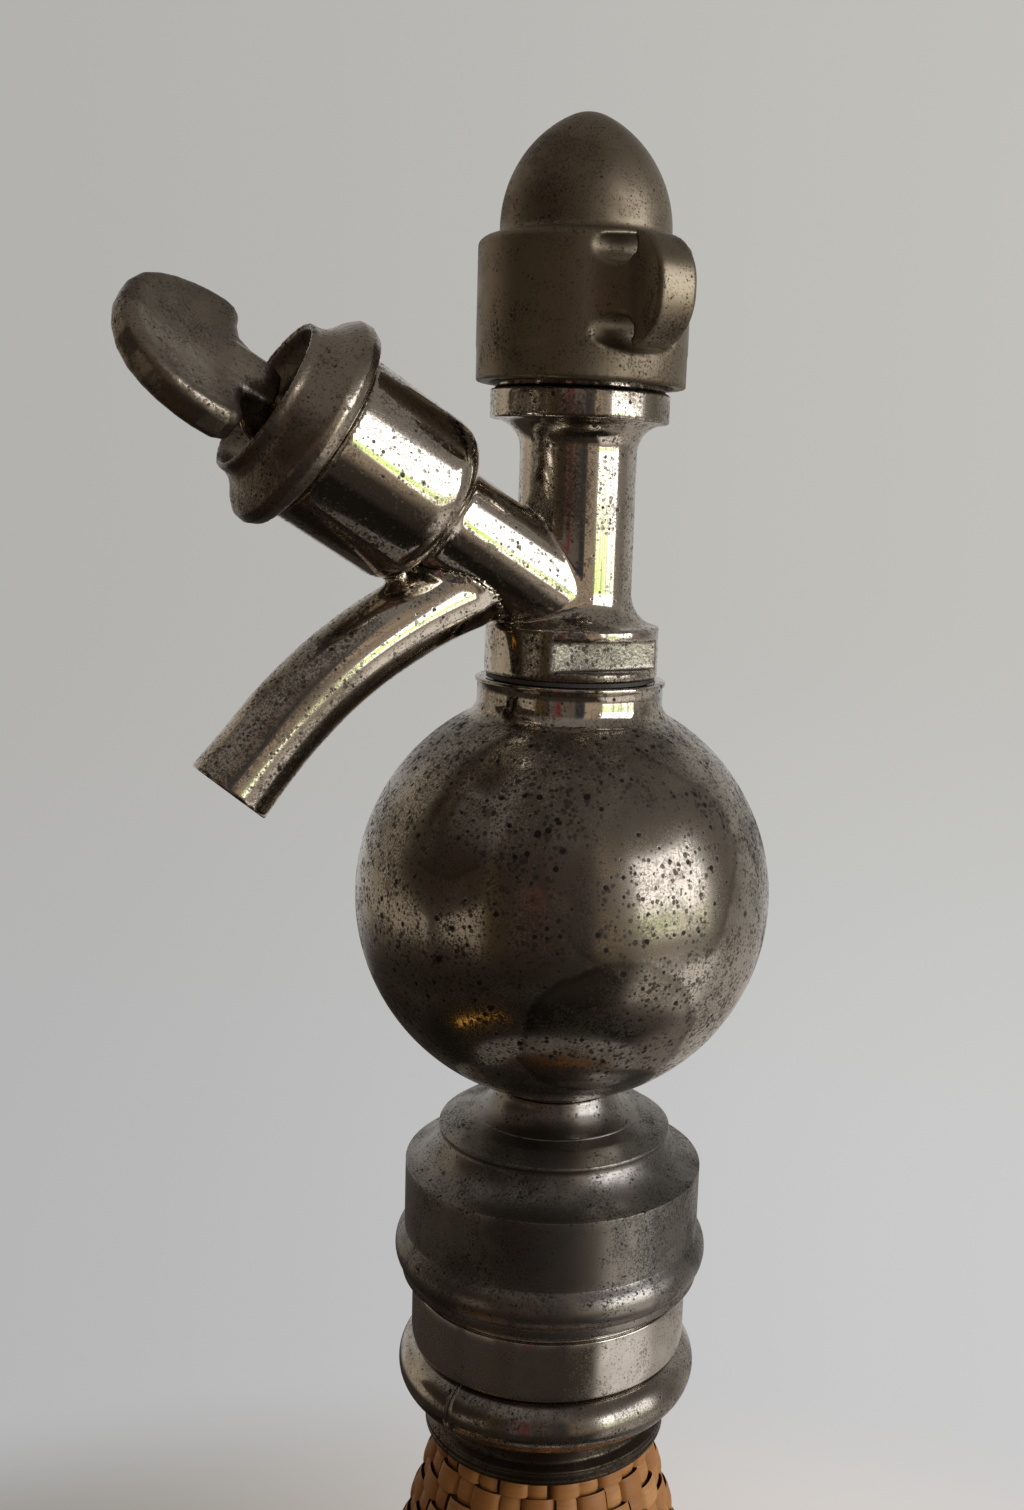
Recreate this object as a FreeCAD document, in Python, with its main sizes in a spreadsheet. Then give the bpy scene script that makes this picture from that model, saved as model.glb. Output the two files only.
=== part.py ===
"""Soda siphon: a cane-covered glass bottle with a gas-bulb head, a thumb lever valve and a spout.

Frame: millimetres, +Z up, origin on the bottle's axis where it stands. The valve and the spout
point towards -X.
"""
import FreeCAD, Part
import math
import os
import re
import Sketcher

# Driving dimensions. Lengths in mm, angles in degrees.
SIZES = {
    # bottle, cane cover and foot
    "foot_height": 7.7,
    "foot_floor": 3.7,
    "foot_ring": 6.3,
    "belly_radius": 57.5,
    "belly_curve": 120.0,
    "belly_taper_curve": 600.0,
    "shoulder_slope": 30.0,
    "throat_curve": 100.0,
    "throat_slope": 17.3,
    "throat_length": 24.0,
    "cover_top_radius": 17.3,
    "cover_top_height": 222.9,
    "cane_thickness": 3.2,
    "cane_gap": 0.3,
    "glass_wall": 4.0,
    "glass_floor": 8.0,
    "glass_corner": 6.0,
    "glass_land": 4.0,
    "punt_rise": 4.0,
    "glass_neck_radius": 13.7,
    "glass_neck_bore": 9.0,
    "glass_bead_radius": 18.6,
    "glass_bead_height": 11.5,
    # fittings round the bottle's neck
    "collar_skirt_height": 6.7,
    "collar_skirt_radius": 20.2,
    "collar_skirt_waist": 18.7,
    "collar_skirt_lip": 2.2,
    "torus_section": 4.5,
    "torus_centre_radius": 20.3,
    "split_sleeve_radius": 19.2,
    "split_flange_radius": 20.1,
    "split_flange_height": 2.8,
    "split_gap_turn": 0.5,
    "split_seam_azimuth": -155.0,
    "nut_radius": 22.8,
    "nut_height": 10.0,
    "nut_ledge": 4.0,
    "nut_thread_radius": 21.7,
    "nut_thread_height": 10.7,
    "nut_bore": 20.5,
    # base cap
    "neck_washer_height": 2.8,
    "base_bore": 22.0,
    "base_wall_radius": 24.3,
    "base_skirt": 10.0,
    "base_rim_height": 2.8,
    "base_rim_step": 0.3,
    "base_bead_reach": 1.4,
    "base_bead_height": 4.4,
    "base_wall_height": 11.7,
    "base_shoulder_curve": 7.5,
    "tier_radius": 18.9,
    "base_shoulder_rise": 5.5,
    "tier_edge": 1.6,
    "tier_rise": 1.1,
    "dish_radius": 13.0,
    "dish_step": 0.3,
    "dish_rise": 2.3,
    "dish_curve": 3.6,
    # ball chamber
    "ball_radius": 33.0,
    "ball_wall": 1.5,
    "ball_neck_radius": 9.6,
    "ball_neck_height": 3.0,
    "ball_spigot_radius": 8.6,
    "ball_spigot_length": 5.0,
    "ball_port": 7.0,
    "ball_mouth_radius": 14.6,
    "ball_mouth_bore": 12.3,
    "ball_mouth_neck": 3.2,
    "ball_mouth_lip": 0.35,
    "ball_mouth_fillet": 3.0,
    "collar_washer_height": 0.6,
    # riser and dip tube
    "riser_radius": 3.5,
    "riser_bore": 1.9,
    "riser_depth": 8.0,
    "guide_height": 2.0,
    "guide_hole": 1.0,
    "dip_clearance": 9.0,
    "dip_sleeve_length": 14.0,
    "dip_sleeve_wall": 1.7,
    # head casting
    "spigot_radius": 12.0,
    "spigot_length": 10.0,
    "collar_radius": 13.5,
    "collar_height": 7.7,
    "collar_step": 0.6,
    "flat_distance": 10.0,
    "flat_height": 5.0,
    "flat_azimuth": -87.0,
    "column_radius": 9.0,
    "column_flare": 6.4,
    "column_height": 19.5,
    "flange_flare": 4.7,
    "flange_radius": 13.7,
    "flange_height": 4.6,
    "stub_radius": 13.4,
    "stub_height": 10.7,
    "stub_recess_radius": 6.0,
    "stub_recess_depth": 5.0,
    "gas_bore": 1.2,
    "gas_cross_bore": 0.9,
    "gas_offset": 5.2,
    "ball_seat_bore": 4.2,
    "ball_seat_depth": 19.0,
    "check_bore": 3.0,
    "check_depth": 8.0,
    "check_ball_radius": 2.6,
    "check_seat_height": 3.0,
    "liquid_bore": 2.5,
    # gas bulb and its cap
    "bulb_washer_height": 2.0,
    "pin_radius": 1.0,
    "pin_reach": 2.2,
    "pin_base_height": 4.5,
    "bulb_radius": 10.2,
    "bulb_wall": 1.8,
    "bulb_neck_radius": 4.2,
    "bulb_neck_height": 3.8,
    "bulb_shoulder_height": 6.5,
    "bulb_body_height": 5.5,
    "bulb_mouth": 1.3,
    "cap_radius": 15.95,
    "cap_gap": 0.9,
    "cap_lag": 1.9,
    "wing_rise": 1.95,
    "cap_edge": 2.2,
    "cap_thread_depth": 12.0,
    "dome_radius": 12.9,
    "dome_step": 1.6,
    "dome_curve": 18.1,
    "dome_nose": 6.5,
    "dome_wall": 2.3,
    "pad_radius": 3.0,
    "wing_azimuth": -86.0,
    "wing_thickness": 6.2,
    "wing_reach": 25.5,
    "wing_half_height": 7.9,
    "wing_neck": 4.0,
    "wing_root": 1.4,
    "wing_lobe_centre": 2.4,
    "wing_scallop_start": 0.4,
    "wing_scallop": 2.4,
    # valve branch and cup
    "branch_rise": 31.0,
    "branch_height": 10.1,
    "branch_radius": 8.4,
    "branch_bore": 3.0,
    "branch_bore_start": 10.0,
    "cup_start": 27.0,
    "cup_end": 47.6,
    "cup_radius": 13.05,
    "cup_back_round": 4.5,
    "chamber_floor": 30.0,
    "chamber_radius": 8.0,
    "gland_depth": 5.9,
    "gland_bore": 10.5,
    "gland_seal_height": 2.0,
    "gland_disc_height": 2.0,
    "inlet_bore": 1.2,
    "inlet_offset": 6.3,
    "seat_radius": 4.2,
    "seat_hole": 2.0,
    "seat_lip": 1.5,
    "seat_lip_radius": 3.0,
    # stem
    "stem_radius": 1.5,
    "stem_disc_radius": 4.0,
    "stem_disc_height": 1.5,
    "stem_head_radius": 3.0,
    "stem_head_height": 1.5,
    "valve_washer_radius": 3.6,
    "valve_washer_height": 1.8,
    "spring_wire": 0.4,
    "spring_radius": 3.0,
    "spring_pitch": 1.6,
    # lever cap, lever and pin
    "lever_turn": 40.0,
    "ring_gap": 0.4,
    "ring_edge_radius": 15.1,
    "ring_bead_radius": 16.2,
    "ring_bead_height": 5.2,
    "ring_waist_radius": 11.7,
    "ring_height": 9.0,
    "ring_rim_radius": 11.5,
    "ring_bore": 8.8,
    "mouth_radius": 10.5,
    "pivot_drop": 5.5,
    "pivot_along": 50.9,
    "pivot_radius": 1.1,
    "pivot_half_length": 9.4,
    "lug_radius": 2.0,
    "hub_radius": 2.0,
    "arm_half_width": 3.6,
    "arm_relief": 0.25,
    "arm_clearance": 1.5,
    "fork_half_height": 0.8,
    "fork_reach": 0.5,
    "fork_thickness": 1.5,
    "plate_thickness": 5.5,
    "plate_tilt": -1.0,
    "plate_turn": 10.3,
    "plate_start": 7.8,
    "plate_setback": 2.8,
    "plate_face": 7.35,
    "plate_length": 23.0,
    "plate_half_width": 13.7,
    "plate_horn": 5.6,
    "plate_horn_round": 2.6,
    "plate_neck": 3.6,
    "plate_dish": 0.8,
    "plate_dish_curve": 60.0,
    # spout
    "spout_radius": 6.0,
    "spout_bore": 4.5,
    "spout_bend_radius": 72.0,
    "spout_root_out": 18.5,
    "spout_root_up": 2.6,
    "spout_root_slope": 21.4,
    "spout_tip_slope": 51.0,
    "spout_straight": 9.0,
    # clearances
    "running_fit": 0.05,
    "seat_gap": 0.1,
    "thread_gap": 0.3,
}

doc = FreeCAD.newDocument("soda_siphon")
sheet = doc.addObject("Spreadsheet::Sheet", "Size")
for row, (alias, value) in enumerate(SIZES.items(), start=1):
    sheet.set("A%d" % row, alias)
    sheet.set("B%d" % row, str(value))
    sheet.setAlias("B%d" % row, alias)
doc.recompute()


def sized(text):
    """Puts the sheet's name before each size that an expression names."""
    def cell(word):
        return "Size." + word.group() if word.group() in SIZES else word.group()
    return re.sub(r"[A-Za-z_]+", cell, text)


def bind(thing, **expressions):
    """Ties properties of a document object to expressions of the sheet."""
    for name, text in expressions.items():
        thing.setExpression(name, sized(text))
    return thing


def value_of(text):
    """The number that an expression has now."""
    result = sheet.evalExpression(sized(text))
    return float(getattr(result, "Value", result))


def at(height, azimuth="0", ahead="0"):
    """A placement on the bottle's axis, turned about it."""
    return "placement(vector(%s;0;%s);rotation(vector(0;0;1);%s))" % (ahead, height, azimuth)


def plane_of(body, role):
    return [item for item in body.Origin.OriginFeatures if item.Role == role][0]


def bent_edge(start, end, bend):
    """The arc from start to end. 'round r' bulges to the right of that way, 'hollow r' to the left."""
    kind, radius = bend.split(" ", 1)
    size = value_of(radius)
    if kind == "hollow":
        start, end = end, start
    chord = end - start
    reach = math.sqrt(max(size * size - chord.Length ** 2 / 4, 0.0))
    middle = (start + end) / 2 + FreeCAD.Vector(-chord.y, chord.x, 0).normalize() * reach
    angles = [math.atan2(point.y - middle.y, point.x - middle.x) for point in (start, end)]
    if angles[1] < angles[0]:
        angles[1] += 2 * math.pi
    circle = Part.Circle(middle, FreeCAD.Vector(0, 0, 1), size)
    return Part.ArcOfCircle(circle, angles[0], angles[1])


def outline(body, role, corners):
    """A closed sketch, counter-clockwise, of (across, up[, bend of the edge that follows]) corners."""
    sketch = body.newObject("Sketcher::SketchObject", body.Name + "_outline")
    sketch.AttachmentSupport = [(plane_of(body, role), "")]
    sketch.MapMode = "FlatFace"
    points = [FreeCAD.Vector(value_of(c[0]), value_of(c[1]), 0) for c in corners]
    starts = []
    ends = []
    for index, corner in enumerate(corners):
        first = points[index]
        last = points[(index + 1) % len(points)]
        if len(corner) == 3:
            edge = sketch.addGeometry(bent_edge(first, last, corner[2]))
            kind, radius = corner[2].split(" ", 1)
            limit = sketch.addConstraint(Sketcher.Constraint("Radius", edge, value_of(radius)))
            sketch.setExpression("Constraints[%d]" % limit, sized(radius))
            forward = kind == "round"
        else:
            edge = sketch.addGeometry(Part.LineSegment(first, last))
            forward = True
        starts.append((edge, 1 if forward else 2))
        ends.append((edge, 2 if forward else 1))
    for index, corner in enumerate(corners):
        edge, end = starts[index]
        sketch.addConstraint(Sketcher.Constraint("Coincident", *ends[index - 1], edge, end))
        for kind, text, axis in (("DistanceX", corner[0], -2), ("DistanceY", corner[1], -1)):
            if text == "0":
                sketch.addConstraint(Sketcher.Constraint("PointOnObject", edge, end, axis))
                continue
            limit = sketch.addConstraint(Sketcher.Constraint(kind, -1, 1, edge, end, value_of(text)))
            sketch.setExpression("Constraints[%d]" % limit, sized(text))
    return sketch


def turned(name, corners, place, angle="360"):
    """A body turned about its own Z axis from a closed outline of (radius, height) corners."""
    body = doc.addObject("PartDesign::Body", name)
    sketch = outline(body, "XZ_Plane", corners)
    turning = body.newObject("PartDesign::Revolution", name + "_turning")
    turning.Profile = sketch
    turning.ReferenceAxis = (sketch, ["V_Axis"])
    bind(turning, Angle=angle)
    bind(body, Placement=place)
    return body


def milled(name, corners, thickness, place, role="XZ_Plane"):
    """A body padded both ways from a closed outline in one of its own planes."""
    body = doc.addObject("PartDesign::Body", name)
    sketch = outline(body, role, corners)
    pad = body.newObject("PartDesign::Pad", name + "_pad")
    pad.Profile = sketch
    pad.Midplane = True
    bind(pad, Length=thickness)
    bind(body, Placement=place)
    return body


def rod(name, radius, length, place):
    cylinder = doc.addObject("Part::Cylinder", name)
    return bind(cylinder, Radius=radius, Height=length, Placement=place)


def block(name, length, width, height, place):
    box = doc.addObject("Part::Box", name)
    return bind(box, Length=length, Width=width, Height=height, Placement=place)


def joined(name, *pieces):
    fusion = doc.addObject("Part::MultiFuse", name)
    fusion.Shapes = list(pieces)
    return fusion


def without(name, base, *tools):
    cut = doc.addObject("Part::Cut", name)
    cut.Base = base
    cut.Tool = tools[0] if len(tools) == 1 else joined(name + "_tools", *tools)
    return cut


NODES = {}


def node(label, thing):
    """Names a finished piece of the siphon."""
    thing.Label = label
    NODES[label] = thing
    return thing


# Heights on the bottle's axis, from the ground up.
SKIRT_FOOT = "(cover_top_height + cane_gap)"
SKIRT_TOP = "(%s + collar_skirt_height)" % SKIRT_FOOT
TORUS = "(%s + seat_gap + torus_section)" % SKIRT_TOP
NUT_FOOT = "(%s + torus_section + cane_gap)" % TORUS
NUT_SHOULDER = "(%s + nut_height)" % NUT_FOOT
SPLIT_TOP = "(%s + nut_ledge + cane_gap + split_flange_height)" % NUT_FOOT
BEAD_FOOT = "(%s + seat_gap)" % SPLIT_TOP
LIP = "(%s + glass_bead_height)" % BEAD_FOOT
CEILING = "(%s + neck_washer_height + 2 * seat_gap)" % LIP
BASE_FOOT = "(%s - base_skirt)" % CEILING
BASE_BEAD = "(%s + base_rim_height)" % BASE_FOOT
BASE_WALL = "(%s + base_bead_height)" % BASE_BEAD
TIER_FOOT = "(%s + base_wall_height + base_shoulder_rise)" % BASE_WALL
TIER_EDGE = "(%s + tier_rise)" % TIER_FOOT
DISH_TOP = "(%s + tier_edge + dish_rise)" % TIER_EDGE
BALL_FOOT = "(%s + ball_neck_height)" % DISH_TOP
BALL = "(%s + sqrt(ball_radius^2 - ball_neck_radius^2) )" % BALL_FOOT
# The fillet under the mouth's neck touches the neck at MOUTH_ROOT and the sphere at MOUTH_FOOT.
MOUTH_ROOT = "sqrt((ball_radius + ball_mouth_fillet)^2 - (ball_mouth_radius + ball_mouth_fillet)^2)"
MOUTH_SHARE = "ball_radius / (ball_radius + ball_mouth_fillet)"
MOUTH_FOOT_RADIUS = "(ball_mouth_radius + ball_mouth_fillet) * " + MOUTH_SHARE
MOUTH_FOOT = MOUTH_ROOT + " * " + MOUTH_SHARE
MOUTH_TOP = "(%s + ball_mouth_neck)" % MOUTH_ROOT
BALL_TOP = "(%s + %s)" % (BALL, MOUTH_TOP)
COLLAR = "(%s + collar_washer_height + 2 * seat_gap)" % BALL_TOP
FLARE = "(%s + collar_height)" % COLLAR
COLUMN = "(%s + column_flare)" % FLARE
FLANGE = "(%s + column_height + flange_flare)" % COLUMN
STUB = "(%s + flange_height)" % FLANGE
STUB_TOP = "(%s + stub_height)" % STUB
RECESS = "(%s - stub_recess_depth)" % STUB_TOP
CAP_FOOT = "(%s + cap_gap)" % STUB
BULB_FOOT = "(%s + bulb_washer_height + 2 * seat_gap)" % RECESS
# The cap's cylinder ends a little under the bulb's widest part.
CAP_HEIGHT = ("(stub_height - stub_recess_depth + bulb_washer_height + 2 * seat_gap - cap_gap"
              " + bulb_neck_height + bulb_shoulder_height + bulb_body_height - cap_lag)")
CHECK_TOP = "(%s - ball_seat_depth)" % STUB_TOP
CHECK_FLOOR = "(%s - check_depth)" % CHECK_TOP
VALVE_ORIGIN = "(%s + branch_height)" % COLLAR

# The valve branch leaves the column's axis at VALVE_ORIGIN, rising towards -X. In its own frame
# Z runs out along the branch and X is square to it, upwards.
VALVE = "placement(vector(0;0;%s);rotation(vector(0;1;0);branch_rise - 90))" % VALVE_ORIGIN
# The lever's frame lies on the pin: Z out, X towards the thumb's face, Y along the pin.
LEVER = VALVE + " * placement(vector(0;0;pivot_along);rotation(vector(0;0;1);-lever_turn))"
PIVOT = LEVER + " * placement(vector(-pivot_drop;0;0);rotation(vector(0;0;1);0))"
ALONG_PIN = "placement(vector(0;%s;0);rotation(vector(1;0;0);-90))"


def along(distance, side="0"):
    """A placement in the valve's frame, this far out and this far to its upper side."""
    return VALVE + " * placement(vector(%s;0;%s);rotation(vector(0;0;1);0))" % (side, distance)


# ---- bottle, cane cover and foot -------------------------------------------------------------

# From the top the throat runs straight at throat_slope, then bends out to shoulder_slope.
THROAT_X = "(cover_top_radius + throat_length * sin(throat_slope) + throat_curve * cos(throat_slope))"
THROAT_Z = "(cover_top_height - throat_length * cos(throat_slope) + throat_curve * sin(throat_slope))"
CONE_TOP_X = "(%s - throat_curve * cos(shoulder_slope))" % THROAT_X
CONE_TOP_Z = "(%s - throat_curve * sin(shoulder_slope))" % THROAT_Z
BELLY_X = "(belly_radius - belly_curve)"
CONE_FOOT_X = "(%s + belly_curve * cos(shoulder_slope))" % BELLY_X
CONE_FOOT_Z = "(%s - (%s - %s) / tan(shoulder_slope))" % (CONE_TOP_Z, CONE_FOOT_X, CONE_TOP_X)
BELLY_Z = "(%s - belly_curve * sin(shoulder_slope))" % CONE_FOOT_Z


def belly_corners(inset, foot):
    """The bottle's side from its foot height up to the throat, this far inside the cover's skin."""
    taper = "(belly_taper_curve - %s)" % inset
    belly = "(belly_curve - %s)" % inset
    throat = "(throat_curve + %s)" % inset
    foot_turn = "asin((%s - %s) / %s)" % (BELLY_Z, foot, taper)
    return [
        ("belly_radius - belly_taper_curve + %s * cos(%s)" % (taper, foot_turn), foot,
         "round " + taper),
        ("belly_radius - " + inset, BELLY_Z, "round " + belly),
        ("%s + %s * cos(shoulder_slope)" % (BELLY_X, belly),
         "%s + %s * sin(shoulder_slope)" % (BELLY_Z, belly)),
        ("%s - %s * cos(shoulder_slope)" % (THROAT_X, throat),
         "%s - %s * sin(shoulder_slope)" % (THROAT_Z, throat), "hollow " + throat),
        ("%s - %s * cos(throat_slope)" % (THROAT_X, throat),
         "%s - %s * sin(throat_slope)" % (THROAT_Z, throat)),
        ("cover_top_radius - %s * cos(throat_slope)" % inset,
         "cover_top_height - %s * sin(throat_slope)" % inset),
    ]


def downwards(corners):
    """The same edge walked the other way, with its bends turned over."""
    swap = {"round": "hollow", "hollow": "round"}
    walked = []
    for index in range(len(corners) - 1, -1, -1):
        step = corners[index][:2]
        if index > 0 and len(corners[index - 1]) == 3:
            kind, radius = corners[index - 1][2].split(" ", 1)
            step = step + (swap[kind] + " " + radius,)
        walked.append(step)
    return walked


COVER_FOOT = "(foot_height + cane_gap)"
node("wicker_cover", turned(
    "wicker_cover",
    belly_corners("0", COVER_FOOT) + downwards(belly_corners("cane_thickness", COVER_FOOT)),
    at("0")))

GLASS_FOOT = "(foot_floor + cane_gap)"
GLASS_SKIN = "(cane_thickness + cane_gap)"
GLASS_INSIDE = "(cane_thickness + cane_gap + glass_wall)"
GLASS_KNEE = "(%s + glass_corner)" % GLASS_FOOT
GLASS_FLOOR = "(%s + glass_floor)" % GLASS_FOOT
GLASS_INNER_KNEE = "(%s + glass_corner)" % GLASS_FLOOR
glass_side = belly_corners(GLASS_SKIN, GLASS_KNEE)
glass_inside = belly_corners(GLASS_INSIDE, GLASS_INNER_KNEE)
PUNT = "(%s - glass_corner - glass_land)" % glass_side[0][0]
node("glass_bottle", turned("glass_bottle", [
    ("0", GLASS_FOOT + " + punt_rise"),
    (PUNT + " - 2 * glass_corner", GLASS_FOOT + " + punt_rise"),
    (PUNT, GLASS_FOOT),
    (glass_side[0][0] + " - glass_corner", GLASS_FOOT, "round glass_corner"),
] + glass_side + [
    ("glass_neck_radius", "cover_top_height"),
    ("glass_neck_radius", BEAD_FOOT),
    ("glass_bead_radius", BEAD_FOOT),
    ("glass_bead_radius", LIP + " - glass_wall / 4", "round glass_wall / 4"),
    ("glass_bead_radius - glass_wall / 4", LIP),
    ("glass_neck_bore", LIP),
    ("glass_neck_bore", "cover_top_height + glass_wall"),
] + downwards(glass_inside) + [
    (glass_inside[0][0] + " - glass_corner", GLASS_FLOOR),
    ("0", GLASS_FLOOR),
], at("0")))

FOOT_INSIDE = "(%s + cane_gap)" % glass_side[0][0]
node("wicker_foot", turned("wicker_foot", [
    ("0", "0"),
    (FOOT_INSIDE + " + foot_ring * 0.6", "0", "round foot_ring * 0.6"),
    (FOOT_INSIDE + " + foot_ring", "foot_height / 2", "round foot_ring * 0.7"),
    (FOOT_INSIDE + " + foot_ring * 0.5", "foot_height"),
    (FOOT_INSIDE, "foot_height"),
    (FOOT_INSIDE, "foot_floor"),
    ("0", "foot_floor"),
], at("0")))

# ---- fittings round the bottle's neck ----------------------------------------------------------

NECK_CLEAR = "(glass_neck_radius + thread_gap)"
node("wicker_collar", turned("wicker_collar", [
    (NECK_CLEAR + " + thread_gap", "0"),
    ("collar_skirt_radius - collar_skirt_lip / 3", "0", "round collar_skirt_lip * 0.54"),
    ("collar_skirt_radius - collar_skirt_lip / 3", "collar_skirt_lip"),
    ("collar_skirt_waist", "collar_skirt_lip + thread_gap"),
    ("collar_skirt_waist", "collar_skirt_height - 2 * thread_gap"),
    ("collar_skirt_waist + 2 * thread_gap", "collar_skirt_height"),
    (NECK_CLEAR + " + thread_gap", "collar_skirt_height"),
], at(SKIRT_FOOT)))

split_corners = [
    (NECK_CLEAR, "-torus_section"),
    ("torus_centre_radius", "-torus_section", "round torus_section"),
    ("torus_centre_radius + torus_section", "0", "round torus_section"),
    ("torus_centre_radius", "torus_section"),
    ("split_sleeve_radius", "torus_section"),
    ("split_sleeve_radius", "%s - split_flange_height - %s" % (SPLIT_TOP, TORUS)),
    ("split_flange_radius", "%s - split_flange_height - %s" % (SPLIT_TOP, TORUS)),
    ("split_flange_radius", "%s - %s" % (SPLIT_TOP, TORUS)),
    (NECK_CLEAR, "%s - %s" % (SPLIT_TOP, TORUS)),
]
for side, start in (("front", "0"), ("back", "180")):
    node("split_ring_" + side, turned(
        "split_ring_" + side, split_corners,
        at(TORUS, "split_seam_azimuth + split_gap_turn / 2 + " + start),
        "180 - split_gap_turn"))

node("neck_nut", turned("neck_nut", [
    ("split_sleeve_radius + 2 * thread_gap", "0"),
    ("nut_radius", "0"),
    ("nut_radius", "nut_height"),
    ("nut_thread_radius", "nut_height"),
    ("nut_thread_radius", "nut_height + nut_thread_height"),
    ("nut_bore", "nut_height + nut_thread_height"),
    ("nut_bore", "nut_ledge"),
    ("split_sleeve_radius + 2 * thread_gap", "nut_ledge"),
], at(NUT_FOOT)))

node("neck_washer", turned("neck_washer", [
    ("glass_neck_bore + thread_gap", "0"),
    ("glass_bead_radius", "0"),
    ("glass_bead_radius", "neck_washer_height"),
    ("glass_neck_bore + thread_gap", "neck_washer_height"),
], at(LIP + " + seat_gap")))

# ---- base cap and ball chamber -----------------------------------------------------------------

SOCKET = "(ball_spigot_radius + running_fit)"
node("base_cap", turned("base_cap", [
    ("base_bore", "0"),
    ("base_wall_radius + base_rim_step", "0"),
    ("base_wall_radius + base_rim_step", "base_rim_height", "round base_bead_height * 0.6"),
    ("base_wall_radius + base_bead_reach", "base_rim_height + base_bead_height / 2",
     "round base_bead_height * 0.6"),
    ("base_wall_radius", BASE_WALL + " - " + BASE_FOOT),
    ("base_wall_radius", "%s + base_wall_height - %s" % (BASE_WALL, BASE_FOOT),
     "hollow base_shoulder_curve"),
    ("tier_radius - thread_gap", TIER_FOOT + " - " + BASE_FOOT),
    ("tier_radius", TIER_EDGE + " - " + BASE_FOOT, "round tier_edge"),
    ("tier_radius - tier_edge", "%s + tier_edge - %s" % (TIER_EDGE, BASE_FOOT)),
    ("dish_radius", "%s + tier_edge + dish_step - %s" % (TIER_EDGE, BASE_FOOT), "hollow dish_curve"),
    ("ball_neck_radius", DISH_TOP + " - " + BASE_FOOT),
    (SOCKET, DISH_TOP + " - " + BASE_FOOT),
    (SOCKET, "%s - ball_spigot_length - %s" % (DISH_TOP, BASE_FOOT)),
    ("ball_port", "%s - ball_spigot_length - %s" % (DISH_TOP, BASE_FOOT)),
    ("ball_port", "base_skirt"),
    ("base_bore", "base_skirt"),
], at(BASE_FOOT)))

BALL_NECK_DROP = "sqrt(ball_radius^2 - ball_neck_radius^2)"
MOUTH_SHOULDER = "(%s - 2 * ball_mouth_lip)" % MOUTH_TOP
BALL_INSIDE = "(ball_radius - ball_wall)"
node("ball_chamber", turned("ball_chamber", [
    ("ball_port", "-%s - ball_neck_height - ball_spigot_length" % BALL_NECK_DROP),
    ("ball_spigot_radius", "-%s - ball_neck_height - ball_spigot_length" % BALL_NECK_DROP),
    ("ball_spigot_radius", "-%s - ball_neck_height" % BALL_NECK_DROP),
    ("ball_neck_radius", "-%s - ball_neck_height" % BALL_NECK_DROP),
    ("ball_neck_radius", "-" + BALL_NECK_DROP, "round ball_radius"),
    (MOUTH_FOOT_RADIUS, MOUTH_FOOT, "hollow ball_mouth_fillet"),
    ("ball_mouth_radius", MOUTH_ROOT),
    ("ball_mouth_radius", MOUTH_SHOULDER),
    ("ball_mouth_radius + ball_mouth_lip", MOUTH_SHOULDER + " + ball_mouth_lip"),
    ("ball_mouth_radius + ball_mouth_lip", MOUTH_TOP),
    ("ball_mouth_bore", MOUTH_TOP),
    ("ball_mouth_bore", "sqrt(%s^2 - ball_mouth_bore^2)" % BALL_INSIDE,
     "hollow " + BALL_INSIDE),
    ("ball_port", "-sqrt(%s^2 - ball_port^2)" % BALL_INSIDE),
], at(BALL)))

node("collar_washer", turned("collar_washer", [
    ("spigot_radius + running_fit", "0"),
    ("collar_radius - thread_gap", "0"),
    ("collar_radius - thread_gap", "collar_washer_height"),
    ("spigot_radius + running_fit", "collar_washer_height"),
], at(BALL_TOP + " + seat_gap")))

# ---- riser and dip tube -------------------------------------------------------------------------

RISER_TOP = "(%s - spigot_length + riser_depth)" % COLLAR
RISER_FOOT = "(%s - ball_spigot_length - dip_sleeve_length / 2)" % DISH_TOP


def tube(name, outer, inner, foot, length):
    return node(name, turned(name, [
        (inner, "0"), (outer, "0"), (outer, length), (inner, length)], at(foot)))


tube("riser_tube", "riser_radius", "riser_bore", RISER_FOOT, "%s - %s" % (RISER_TOP, RISER_FOOT))
DIP_FOOT = "(%s + dip_clearance)" % GLASS_FLOOR
tube("dip_tube", "riser_radius", "riser_bore", DIP_FOOT,
     "%s - cane_gap - %s" % (RISER_FOOT, DIP_FOOT))
tube("dip_sleeve", "riser_radius + running_fit + dip_sleeve_wall", "riser_radius + running_fit",
     RISER_FOOT + " - dip_sleeve_length / 2", "dip_sleeve_length")

guide = turned("riser_guide_disc", [
    ("riser_radius + running_fit", "0"),
    ("ball_port - running_fit", "0"),
    ("ball_port - running_fit", "guide_height"),
    ("riser_radius + running_fit", "guide_height"),
], at(DISH_TOP + " - ball_spigot_length"))
guide_holes = [
    rod("riser_guide_hole_%d" % number, "guide_hole", "3 * guide_height",
        at(DISH_TOP + " - ball_spigot_length - guide_height", str(60 * number))
        + " * " + at("0", "0", "(riser_radius + ball_port) / 2"))
    for number in range(6)]
node("riser_guide", without("riser_guide", guide, *guide_holes))

# ---- head casting --------------------------------------------------------------------------------

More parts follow.
